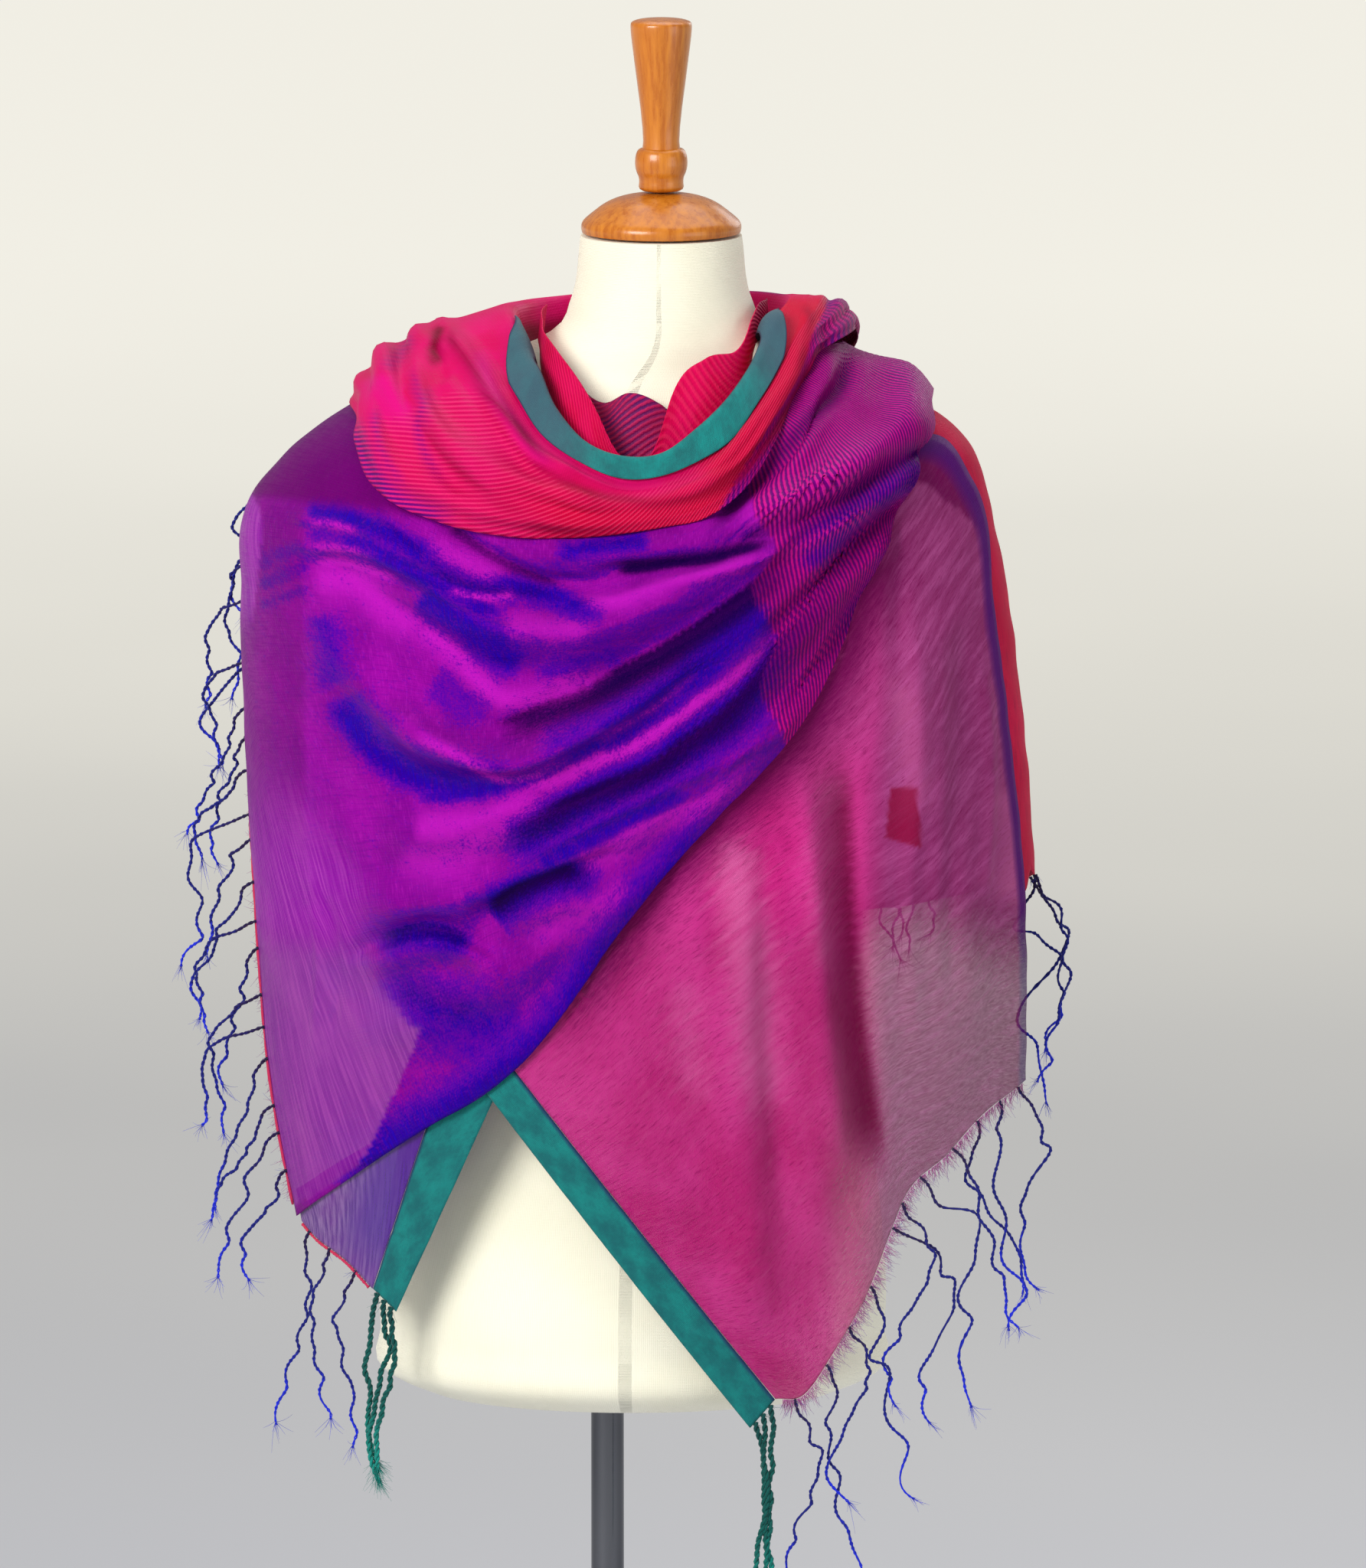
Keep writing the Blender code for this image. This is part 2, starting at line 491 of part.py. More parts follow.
def cowl_section(turn, level):
    """The cowl at a turn in degrees: level 0 is the hem, 1 the border's start, 2 the rim, 3 the inner end."""
    turn, level = numpy.broadcast_arrays(turn, level)
    columns = read(COWL, turn)
    hem_x, hem_height, hem_lift, hem_behind = columns[:4]
    band_reach, band_height, rim_reach, rim_height, bulge = columns[4:]
    hem = on_ring(DRAPE, turn_at(DRAPE, hem_x, hem_height, hem_lift, hem_behind), hem_height, hem_lift)
    angle = numpy.radians(turn)
    band = around_neck(angle, band_reach, band_height)
    rim = around_neck(angle, rim_reach, rim_height)
    tail = around_neck(angle, rim_reach + COWL_TAIL[0], rim_height + COWL_TAIL[1])
    out = stack(numpy.sin(angle), -numpy.cos(angle), 0.6)
    rise = numpy.linalg.norm(band - hem, axis=-1, keepdims=True)
    part = numpy.clip(level, 0.0, 1.0)[..., None]
    lower = mix(hem, band, part) + 4.0 * part * (1.0 - part) * bulge[..., None] * rise * out
    middle = mix(band, rim, numpy.clip(level - 1.0, 0.0, 1.0)[..., None])
    inner = mix(rim, tail, numpy.clip(level - 2.0, 0.0, 1.0)[..., None])
    level = level[..., None]
    part = numpy.clip((level - 2.0 + RIM_ROUND) / (2.0 * RIM_ROUND), 0.0, 1.0)
    before = mix(rim, band, RIM_ROUND)
    after = mix(rim, tail, RIM_ROUND)
    over = mix(mix(before, rim, part), mix(rim, after, part), part)
    sides = numpy.where(level <= 2.0, middle, inner)
    upper = numpy.where(numpy.abs(level - 2.0) < RIM_ROUND, over, sides)
    return numpy.where(level <= 1.0, lower, upper)


def cowl_level(turn, v):
    """The level along the cowl, with a row on its rim: in front it ends just inside, elsewhere deeper."""
    part = (numpy.abs(turn) - COWL_OPEN_TURN) / (COWL_CLOSED_TURN - COWL_OPEN_TURN)
    tail = mix(0.5, 1.0, numpy.clip(part, 0.0, 1.0))
    row = (1.0 - v) * COWL_ROWS
    return numpy.where(row < COWL_RIM_ROW, 2.0 * row / COWL_RIM_ROW,
                       2.0 + tail * (row - COWL_RIM_ROW) / (COWL_ROWS - COWL_RIM_ROW))


def cowl_whole(u, v):
    return cowl_section(mix(-180.0, 180.0, u), 3.0 * (1.0 - v))


def cowl_base(u, v):
    turn = mix(-180.0, 180.0, u)
    return cowl_section(turn, cowl_level(turn, v))


def cowl_outer(u, v):
    """The cowl with its concentric folds."""
    level = cowl_level(mix(-180.0, 180.0, u), v)
    turn = numpy.radians(mix(-180.0, 180.0, u))
    total = 0.0
    for fold in COWL_FOLDS:
        sideways = mix(fold.left, fold.right, 0.5 + 0.5 * numpy.sin(turn))
        facing = mix(fold.back, fold.front, 0.5 + 0.5 * numpy.cos(turn))
        centre = mix(facing, sideways, numpy.sin(turn) ** 2)
        total = total + fold.height * numpy.exp(-((level - centre) / fold.width) ** 2)
    degrees = mix(-180.0, 180.0, u)
    rise = numpy.linalg.norm(cowl_section(degrees, 1.0) - cowl_section(degrees, 0.0), axis=-1)
    room = numpy.clip((rise - COWL_FOLD_ROOM[0]) / (COWL_FOLD_ROOM[1] - COWL_FOLD_ROOM[0]), 0.0, 1.0)
    return cowl_base(u, v) + outward(cowl_base, u, v) * (total * room * ease(level / 0.15))[..., None]


def cowl_border(u, v):
    """The border laid on the cowl, sinking over its rim at both ends."""
    turn = mix(-BORDER_TURN, BORDER_TURN, u)
    sink = ease((numpy.abs(turn) - BORDER_SINKS) / (BORDER_TURN - BORDER_SINKS))
    level = numpy.minimum(2.0 - v + sink, 2.9)
    around = 0.5 + turn / 360.0
    down = 1.0 - level / 3.0
    lift = 2.0 * SEAM + WALL + BORDER_SINK_LIFT * 4.0 * sink * (1.0 - sink)
    return cowl_whole(around, down) + outward(cowl_whole, around, down) * lift[..., None]


def layer(rows):
    """A band around the neck between an upper and a lower line."""
    def surface(u, v):
        turn = mix(rows[0].turn, rows[-1].turn, u)
        top_reach, top_height, low_reach, low_height = read(rows, turn)
        return around_neck(numpy.radians(turn), mix(top_reach, low_reach, v), mix(top_height, low_height, v))
    return surface


def material(name):
    """A Principled material of one of the named colours."""
    found = bpy.data.materials.get(name)
    if found:
        return found
    made = bpy.data.materials.new(name)
    made.use_nodes = True
    shader = made.node_tree.nodes["Principled BSDF"]
    shader.inputs["Base Color"].default_value = COLOURS[name] + (1.0,)
    shader.inputs["Roughness"].default_value = 0.15 if name == "chrome" else 0.45
    shader.inputs["Metallic"].default_value = 1.0 if name == "chrome" else 0.0
    made.diffuse_color = COLOURS[name] + (1.0,)
    return made


def add_object(name, mesh, colour):
    piece = bpy.data.objects.new(name, mesh)
    mesh.materials.append(material(colour))
    bpy.data.collections["handwoven_scarf"].objects.link(piece)
    return piece


def cloth(name, surface, columns, rows, colour, closed=False, crowd=1.0):
    """A cloth wall: a grid on the surface, its rows crowded to the top, thickened on its inner side."""
    levels = numpy.linspace(0.0, 1.0, rows + 1) ** crowd
    u, v = numpy.meshgrid(numpy.linspace(0.0, 1.0, columns + 1), levels)
    if closed:
        u = u[:, :-1]
        v = v[:, :-1]
    points = surface(u, v)
    wide = points.shape[1]
    faces = []
    for row in range(rows):
        for column in range(columns):
            after = (column + 1) % wide
            low = (row + 1) * wide
            top = row * wide
            faces.append((top + column, low + column, low + after, top + after))
    mesh = bpy.data.meshes.new(name)
    mesh.from_pydata(points.reshape(-1, 3).tolist(), [], faces)
    mesh.shade_smooth()
    piece = add_object(name, mesh, colour)
    wall = piece.modifiers.new("wall", "SOLIDIFY")
    wall.thickness = WALL
    wall.offset = -1.0
    return piece


def strands(fringe):
    """The loose strands of a fringe, their lengths, reaches and headings taken in turn."""
    made = []
    for index, at in enumerate(fringe.places):
        length = fringe.lengths[index % len(fringe.lengths)]
        reach = fringe.reaches[index % len(fringe.reaches)]
        heading = fringe.headings[index % len(fringe.headings)]
        made.append(Strand(at, length, reach, heading, STRAND_CURL * length))
    return made


def edge_frame(surface, edge, inside, knots, at):
    """A point on a cloth's edge, and the directions away from it, along it and off the cloth's face."""
    cell = int(numpy.clip(numpy.searchsorted(knots, at, side="right") - 1, 0, len(knots) - 2))
    before = surface(*edge(knots[cell]))
    after = surface(*edge(knots[cell + 1]))
    point = mix(before, after, (at - knots[cell]) / (knots[cell + 1] - knots[cell]))
    along = (after - before) / numpy.linalg.norm(after - before)
    away = surface(*edge(at)) - surface(*inside(at))
    away = away - along * numpy.dot(away, along)
    away = away / numpy.linalg.norm(away)
    normal = numpy.cross(along, away)
    if normal[0] * (point[0] - NECK_X) + normal[1] * point[1] < 0.0:
        normal = -normal
    return point, away, along, normal


def strand_path(root, away, normal, strand, steps):
    """Points of a loose strand: away from the cloth, out, and down under its weight, with a slow curl."""
    heading = math.radians(strand.heading)
    out = numpy.array((normal[0], normal[1], 0.0))
    out = out / numpy.linalg.norm(out)
    beside = numpy.array((-out[1], out[0], 0.0))
    swing = (out * math.cos(heading) + beside * math.sin(heading)) * strand.reach
    sway = beside * math.cos(heading) - out * math.sin(heading)
    path = []
    for index in range(1, steps + 1):
        part = index / steps
        spread = 1.0 - (1.0 - min(part / 0.7, 1.0)) ** 2
        curl = strand.curl * math.sin(5.5 * part) * part
        drop = numpy.array((0.0, 0.0, strand.length * part ** 1.25))
        path.append(root + away * 0.004 * min(4.0 * part, 1.0) + swing * spread + sway * curl - drop)
    return path


def grow(shape, ring, away, normal, along, strand, half):
    """A four-sided strand grown from a ring of four corners on the heading strip."""
    middle = sum((numpy.array(corner.co) for corner in ring), numpy.zeros(3)) / 4.0
    if numpy.dot(numpy.array(ring[1].co) - numpy.array(ring[0].co), along) < 0.0:
        along = -along
    previous = middle
    heading = away
    for spot in strand_path(middle, away, normal, strand, STRAND_STEPS):
        forward = (spot - previous) / numpy.linalg.norm(spot - previous)
        heading = (forward + heading) / numpy.linalg.norm(forward + heading)
        along = along - heading * numpy.dot(along, heading)
        along = along / numpy.linalg.norm(along)
        normal = normal - heading * numpy.dot(normal, heading) - along * numpy.dot(normal, along)
        normal = normal / numpy.linalg.norm(normal)
        corners = (normal - along, normal + along, along - normal, -along - normal)
        after_ring = [shape.verts.new(spot + corner * half) for corner in corners]
        for side in range(4):
            after = (side + 1) % 4
            shape.faces.new((ring[side], ring[after], after_ring[after], after_ring[side]))
        ring = after_ring
        previous = spot
        heading = forward
    shape.faces.new(ring)


def add_fringe(name, fringe, surface, edge, inside, knots, colour, half=STRAND / 2):
    """A narrow heading strip along a cloth's edge, with loose strands grown from it."""
    start = fringe.start
    end = fringe.end
    span = numpy.linalg.norm(surface(*edge(end)) - surface(*edge(start))) / (end - start)
    reach = half / span
    roots = {}
    for strand in strands(fringe):
        roots[strand.at - reach] = strand
    cuts = [start, end] + list(roots) + [strand.at + reach for strand in roots.values()]
    for knot in knots:
        clear = min(abs(knot - cut) for cut in cuts + [strand.at for strand in roots.values()])
        if start < knot < end and clear > reach:
            cuts.append(knot)
    cuts.sort()
    shape = bmesh.new()
    stations = []
    for at in cuts:
        point, away, along, normal = edge_frame(surface, edge, inside, knots, at)
        near = point + away * SEAM
        far = near + away * HEADING
        corners = (near, far, far - normal * HEADING_WALL, near - normal * HEADING_WALL)
        stations.append([shape.verts.new(corner) for corner in corners])
    for index in range(len(cuts) - 1):
        here = stations[index]
        there = stations[index + 1]
        strand = roots.get(cuts[index])
        for side in range(4):
            after = (side + 1) % 4
            if side != 1 or strand is None:
                shape.faces.new((here[side], there[side], there[after], here[after]))
        if strand is not None:
            point, away, along, normal = edge_frame(surface, edge, inside, knots, strand.at)
            grow(shape, [here[1], there[1], there[2], here[2]], away, normal, along, strand, half)
    shape.faces.new(stations[0])
    shape.faces.new(tuple(reversed(stations[-1])))
    bmesh.ops.recalc_face_normals(shape, faces=shape.faces)
    mesh = bpy.data.meshes.new(name)
    shape.to_mesh(mesh)
    shape.free()
    return add_object(name, mesh, colour)


def torso():
    """The form's body: rings from hip to neck, closed by a flat bottom and a flat neck top."""
    rows = len(TORSO)
    turns = numpy.linspace(0.0, 2.0 * math.pi, TORSO_SIDES, endpoint=False)
    turn, height = numpy.meshgrid(turns, [ring.height for ring in TORSO])
    points = on_ring(TORSO, turn, height, 0.0)
    faces = []
    for row in range(rows - 1):
        for side in range(TORSO_SIDES):
            after = (side + 1) % TORSO_SIDES
            low = row * TORSO_SIDES
            top = low + TORSO_SIDES
            faces.append((low + side, low + after, top + after, top + side))
    faces.append(tuple(reversed(range(TORSO_SIDES))))
    faces.append(tuple(range((rows - 1) * TORSO_SIDES, rows * TORSO_SIDES)))
    mesh = bpy.data.meshes.new("form_torso")
    mesh.from_pydata(points.reshape(-1, 3).tolist(), [], faces)
    mesh.shade_smooth()
    mesh.set_sharp_from_angle(angle=math.radians(50))
    return add_object("form_torso", mesh, "form_cream")


def turned(name, profile, location, colour, sides=TURNED_SIDES):
    """A turned piece: a profile of radius and height, listed from top to bottom, on the axis at location."""
    mesh = bpy.data.meshes.new(name)
    points = [(radius, 0.0, height) for radius, height in profile]
    mesh.from_pydata(points, [(index, index + 1) for index in range(len(points) - 1)], [])
    piece = add_object(name, mesh, colour)
    piece.location = location
    screw = piece.modifiers.new("turn", "SCREW")
    screw.steps = sides
    screw.render_steps = sides
    screw.use_merge_vertices = True
    screw.merge_threshold = 0.0001
    screw.use_smooth_shade = True
    return piece


def dress_form():
    torso()
    cap_thickness = 0.027
    cap = [(0.0, cap_thickness), (0.020, cap_thickness - 0.0015), (0.034, cap_thickness - 0.006),
           (0.045, 0.0125), (0.0495, 0.0085), (0.0505, 0.0045), (0.049, 0.0), (0.0, 0.0)]
    cap_seat = NECK_TOP + SEAM
    turned("form_cap", cap, (NECK_X, 0.0, cap_seat), "wood_honey")
    finial = [(0.0, 0.1085), (0.012, 0.1082), (0.0185, 0.1065), (0.0194, 0.104), (0.0185, 0.094),
              (0.0098, 0.0275), (0.0150, 0.0265), (0.0167, 0.0195), (0.0160, 0.013), (0.0135, 0.008),
              (0.0146, 0.0), (0.0, 0.0)]
    turned("form_finial", finial, (NECK_X, 0.0, cap_seat + cap_thickness + SEAM), "wood_honey", 20)
    base = [(0.0, BASE_TOP), (0.030, BASE_TOP), (0.034, 0.020), (0.090, 0.016),
            (BASE_RADIUS - 0.006, BASE_EDGE + 0.002), (BASE_RADIUS, BASE_EDGE - 0.004),
            (BASE_RADIUS, 0.002), (BASE_RADIUS - 0.002, 0.0), (0.0, 0.0)]
    turned("form_base", base, (0.0, 0.0, 0.0), "base_black", 32)
    pole_low = BASE_TOP + SEAM
    pole_high = TORSO_BOTTOM - SEAM
    bpy.ops.mesh.primitive_cylinder_add(vertices=16, radius=POLE_RADIUS, depth=pole_high - pole_low,
                                        location=(0.0, 0.0, (pole_low + pole_high) / 2))
    pole = bpy.context.object
    pole.name = "form_pole"
    pole.data.materials.append(material("chrome"))
    pole.data.shade_smooth()
    pole.data.set_sharp_from_angle(angle=math.radians(50))
    for holder in list(pole.users_collection):
        holder.objects.unlink(pole)
    bpy.data.collections["handwoven_scarf"].objects.link(pole)


def scarf():
    wrap = folded(wrap_base, WRAP_RIDGES)
    panel = folded(panel_base, PANEL_RIDGES)
    flap = folded(flap_base, PANEL_RIDGES)
    start = PANEL[0]
    panel_strip = strip_base(PANEL_TUCK_OUT, PANEL_CORNER_OUT, (start.top_x - SEAM, start.top_height - SEAM),
                             (start.low_x - SEAM, start.low_height - SEAM), PANEL_LIFT)
    end = UNDER[-1]
    under_strip = strip_base((end.top_x + STRIP_GAP, end.top_height),
                             (end.low_x + STRIP_GAP, end.low_height),
                             UNDER_TUCK_OUT, UNDER_CORNER_OUT, UNDER_LIFT)
    cloth("wrap_front", wrap, WRAP_COLUMNS, WRAP_ROWS, "silk_purple", crowd=WRAP_CROWD)
    cloth("wrap_under", under_base, UNDER_COLUMNS, UNDER_ROWS, "silk_lilac")
    cloth("border_left", under_strip, STRIP_COLUMNS, UNDER_STRIP_ROWS, "border_teal")
    cloth("panel_right", panel, PANEL_COLUMNS, PANEL_ROWS, "silk_rose", crowd=PANEL_CROWD)
    cloth("border_right", panel_strip, STRIP_COLUMNS, PANEL_STRIP_ROWS, "border_teal")
    cloth("back_panel", back_base, BACK_COLUMNS, BACK_ROWS, "silk_red", crowd=BACK_CROWD)
    cloth("back_flap", flap, FLAP_COLUMNS, FLAP_ROWS, "silk_red")
    cloth("cowl_outer", cowl_outer, COWL_COLUMNS, COWL_ROWS, "silk_pink", closed=True)
    cloth("cowl_border", cowl_border, BORDER_COLUMNS, BORDER_ROWS, "border_teal")
    cloth("cowl_inner", layer(COWL_INNER), INNER_COLUMNS, INNER_ROWS, "silk_pink")
    cloth("neck_inner", layer(NECK_INNER), NECK_COLUMNS, NECK_ROWS, "silk_plum")

    def along_left(at):
        return 0.0, at

    def beside_left(at):
        return 0.02, at

    def along_low(at):
        return at, 1.0

    def above_low(at):
        return at, 0.96

    wrap_knots = numpy.linspace(0.0, 1.0, WRAP_ROWS + 1) ** WRAP_CROWD
    add_fringe("fringe_left", FRINGE_LEFT, wrap, along_left, beside_left, wrap_knots, "thread_navy")
    low_knots = numpy.linspace(0.0, 1.0, UNDER_COLUMNS + 1)
    add_fringe("fringe_low", FRINGE_LOW, under_base, along_low, above_low, low_knots, "thread_navy")
    strip_knots = numpy.linspace(0.0, 1.0, STRIP_COLUMNS + 1)
    add_fringe("tassel_left", TASSEL_LEFT, under_strip, along_low, above_low, strip_knots, "border_teal",
               BRAID / 2)
    panel_knots = numpy.linspace(0.0, 1.0, PANEL_COLUMNS + 1)
    add_fringe("fringe_right", FRINGE_RIGHT, panel, along_low, above_low, panel_knots, "thread_navy")
    add_fringe("tassel_right", TASSEL_RIGHT, panel_strip, along_low, above_low, strip_knots, "border_teal",
               BRAID / 2)
    back_knots = numpy.linspace(0.0, 1.0, BACK_COLUMNS + 1)
    add_fringe("fringe_back", FRINGE_BACK, back_base, along_low, above_low, back_knots, "thread_navy")
    flap_knots = numpy.linspace(0.0, 1.0, FLAP_COLUMNS + 1)
    add_fringe("fringe_flap", FRINGE_FLAP, flap, along_low, above_low, flap_knots, "thread_navy")


def main():
    for piece in list(bpy.data.objects):
        bpy.data.objects.remove(piece, do_unlink=True)
    group = bpy.data.collections.new("handwoven_scarf")
    bpy.context.scene.collection.children.link(group)
    dress_form()
    scarf()


main()
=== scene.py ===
"""The handwoven scarf and its dress form, dressed in finer meshes and procedural materials.

The finer cloth lies on the same surfaces as the solids, with creases placed from the photograph.
Lengths are in metres. The front faces -y, and the form stands on the floor at z = 0.
"""
import math
from collections import namedtuple
from itertools import cycle

import bpy
import numpy
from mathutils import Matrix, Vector


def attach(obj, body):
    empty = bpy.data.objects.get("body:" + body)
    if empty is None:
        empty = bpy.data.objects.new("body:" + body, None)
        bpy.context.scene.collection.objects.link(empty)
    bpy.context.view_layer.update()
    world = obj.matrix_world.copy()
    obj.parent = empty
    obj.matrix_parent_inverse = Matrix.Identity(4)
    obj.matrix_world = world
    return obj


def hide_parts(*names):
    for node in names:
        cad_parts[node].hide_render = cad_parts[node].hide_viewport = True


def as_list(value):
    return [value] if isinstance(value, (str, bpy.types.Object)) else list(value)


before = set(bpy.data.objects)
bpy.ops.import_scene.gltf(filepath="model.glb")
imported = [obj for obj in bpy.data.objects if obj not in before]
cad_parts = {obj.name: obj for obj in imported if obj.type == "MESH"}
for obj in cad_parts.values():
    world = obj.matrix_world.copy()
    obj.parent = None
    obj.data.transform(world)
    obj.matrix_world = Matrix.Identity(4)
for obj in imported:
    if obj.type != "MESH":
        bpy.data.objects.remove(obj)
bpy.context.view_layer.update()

# Cloth
WALL = 0.0012
THIN = 0.0006
SEAM = 0.0003
STRIP_GAP = 0.0004
UNDER_LIFT = 0.0027
PANEL_LIFT = 0.0046
PANEL_TOP_LIFT = 0.0018
STRIPE_PERIOD = 0.0035
RIB_PERIOD = 0.0032
COWL_RIB_PERIOD = 0.0029
INNER_REACH = 1.35
PANEL_STREAK_TURN = 12.0

# Painted shades and highlights: how much wider than drawn they are, their least width, and how far their
# edges wander
SHADE_SPREAD = 1.45
BLUE_SPREAD = 1.8
NARROWEST_SHADE = 0.0034
SHADE_WANDER = 0.0022
WOVEN_EDGE = 0.004
NAVY_LINE = 0.0012
NAVY_FADE = 0.0006

# Fringe
STRAND = 0.0024
BRAID = 0.0040
WINE_STRAND = 0.0018
HAIR = 0.00016
TUFT_LENGTH = 0.014
ROOT_HAIRS = 5
ROOT_HAIR_LENGTH = 0.010
STRAND_POINTS = 60
STRAND_CURL = 0.035
HEADING_POINTS = 90
EDGE_KNOTS = numpy.linspace(0.0, 1.0, 121)

# Dress form
NECK_X = 0.0345
NECK_TOP = 1.426
POLE_RADIUS = 0.0105
BASE_TOP = 0.024
TORSO_BOTTOM = 0.690
CAP_THICKNESS = 0.027
CAP_SEAT = NECK_TOP + SEAM
FINIAL_SEAT = CAP_SEAT + CAP_THICKNESS + SEAM
CAP = ((0.0, 0.027), (0.020, 0.0255), (0.034, 0.021), (0.045, 0.0125), (0.0495, 0.0085), (0.0505, 0.0045),
       (0.049, 0.0), (0.0, 0.0))
FINIAL = ((0.0, 0.1085), (0.012, 0.1082), (0.0185, 0.1065), (0.0194, 0.104), (0.0185, 0.094),
          (0.0098, 0.0275), (0.0150, 0.0265), (0.0167, 0.0195), (0.0160, 0.013), (0.0135, 0.008),
          (0.0146, 0.0), (0.0, 0.0))
BASE = ((0.0, 0.024), (0.030, 0.024), (0.034, 0.020), (0.090, 0.016), (0.144, 0.012), (0.150, 0.006),
        (0.150, 0.002), (0.148, 0.0), (0.0, 0.0))
POLE = ((0.0, TORSO_BOTTOM - SEAM), (POLE_RADIUS, TORSO_BOTTOM - SEAM), (POLE_RADIUS, BASE_TOP + SEAM),
        (0.0, BASE_TOP + SEAM))

# Camera and surroundings: the view leans down, and the photograph's pixels lie this many to a metre
SEEN_TILT = math.radians(9.5)
PIXELS = 2100.0
PICTURE_ORIGIN = (791.0, 25.0)
PICTURE_TOP = 1.5386
SENSOR = 36.0
CAMERA_DISTANCE = 7.0
FRONT_DEPTH = 0.10
FRAME_HEIGHT = 0.9752
VIEW_CENTRE = (0.0481, 0.0, 1.0777)
FLOOR_RADIUS = 40.0

# The hanging cloth's rings around the body, by height
Ring = namedtuple("Ring", "height left right front back")
DRAPE = (
    Ring(0.560, -0.198, 0.236, 0.122, 0.116),
    Ring(0.700, -0.200, 0.247, 0.126, 0.118),
    Ring(0.809, -0.205, 0.262, 0.129, 0.119),
    Ring(0.885, -0.212, 0.271, 0.132, 0.118),
    Ring(1.000, -0.217, 0.272, 0.137, 0.116),
    Ring(1.059, -0.221, 0.268, 0.139, 0.117),
    Ring(1.134, -0.224, 0.261, 0.140, 0.118),
    Ring(1.203, -0.225, 0.252, 0.134, 0.117),
    Ring(1.261, -0.219, 0.240, 0.125, 0.112),
    Ring(1.280, -0.205, 0.235, 0.120, 0.108),
    Ring(1.297, -0.188, 0.227, 0.113, 0.104),
    Ring(1.313, -0.166, 0.209, 0.100, 0.097),
    Ring(1.335, -0.125, 0.165, 0.080, 0.084),
    Ring(1.365, -0.066, 0.126, 0.064, 0.070),
    Ring(1.385, -0.030, 0.098, 0.059, 0.062),
    Ring(1.430, -0.016, 0.085, 0.052, 0.052),
)

TORSO = (
    Ring(0.690, -0.115, 0.147, 0.082, 0.082),
    Ring(0.700, -0.138, 0.170, 0.101, 0.100),
    Ring(0.730, -0.144, 0.176, 0.107, 0.106),
    Ring(0.800, -0.140, 0.174, 0.103, 0.107),
    Ring(0.900, -0.120, 0.160, 0.093, 0.095),
    Ring(1.000, -0.107, 0.153, 0.087, 0.084),
    Ring(1.080, -0.116, 0.162, 0.096, 0.087),
    Ring(1.160, -0.138, 0.180, 0.105, 0.094),
    Ring(1.220, -0.160, 0.198, 0.105, 0.098),
    Ring(1.260, -0.182, 0.212, 0.098, 0.100),
    Ring(1.283, -0.188, 0.215, 0.088, 0.099),
    Ring(1.300, -0.177, 0.2110, 0.081, 0.096),
    Ring(1.313, -0.1605, 0.2020, 0.074, 0.0925),
    Ring(1.335, -0.1175, 0.1580, 0.062, 0.0795),
    Ring(1.346, -0.088, 0.140, 0.0565, 0.0720),
    Ring(1.356, -0.052, 0.115, 0.0555, 0.0660),
    Ring(1.368, -0.031, 0.100, 0.0550, 0.0600),
    Ring(1.385, -0.0225, 0.0915, 0.0545, 0.0550),
    Ring(NECK_TOP, -0.016, 0.085, 0.0505, 0.0505),
)

# The front wrap between its upper line, under the cowl, and the fold that crosses the front.
# x and height are seen from the front, lift stands off the rings, behind turns past the side in degrees.
WrapRow = namedtuple("WrapRow", "along top_x top_height top_lift top_behind "
                                "low_x low_height low_lift low_behind")
WRAP = (
    WrapRow(0.00, -0.224, 1.282, 0.0050, 24, -0.196, 0.809, 0.0050, 0),
    WrapRow(0.05, -0.230, 1.298, 0.0050, 18, -0.184, 0.821, 0.0050, 0),
    WrapRow(0.12, -0.220, 1.312, 0.0050, 13, -0.162, 0.840, 0.0050, 0),
    WrapRow(0.20, -0.162, 1.320, 0.0045, 11, -0.132, 0.864, 0.0050, 0),
    WrapRow(0.27, -0.138, 1.322, 0.0040, 4, -0.104, 0.884, 0.0050, 0),
    WrapRow(0.33, -0.118, 1.314, 0.0040, 0, -0.076, 0.902, 0.0052, 0),
    WrapRow(0.40, -0.090, 1.290, 0.0040, 0, -0.046, 0.930, 0.0054, 0),
    WrapRow(0.48, -0.045, 1.276, 0.0040, 0, -0.016, 0.970, 0.0055, 0),
    WrapRow(0.55, 0.000, 1.273, 0.0040, 0, 0.012, 1.013, 0.0055, 0),
    WrapRow(0.62, 0.035, 1.278, 0.0040, 0, 0.041, 1.050, 0.0058, 0),
    WrapRow(0.68, 0.062, 1.288, 0.0045, 0, 0.070, 1.082, 0.0060, 0),
    WrapRow(0.74, 0.083, 1.305, 0.0060, 0, 0.098, 1.111, 0.0064, 0),
    WrapRow(0.80, 0.098, 1.324, 0.0080, 0, 0.125, 1.144, 0.0072, 0),
    WrapRow(0.86, 0.108, 1.341, 0.0099, 0, 0.150, 1.191, 0.0085, 0),
    WrapRow(0.92, 0.119, 1.352, 0.0120, 0, 0.172, 1.242, 0.0105, 0),
    WrapRow(0.97, 0.128, 1.361, 0.0150, 0, 0.190, 1.285, 0.0120, 0),
    WrapRow(1.00, 0.138, 1.360, 0.0140, 0, 0.198, 1.308, 0.0130, 0),
    WrapRow(1.04, 0.144, 1.359, 0.0125, 0, 0.1985, 1.322, 0.0145, 0),
    WrapRow(1.08, 0.150, 1.356, 0.0120, 14, 0.210, 1.329, 0.0120, 2),
    WrapRow(1.14, 0.150, 1.350, 0.0028, 38, 0.210, 1.326, 0.0028, 26),
)
SHOULDER_BULGE = 0.009

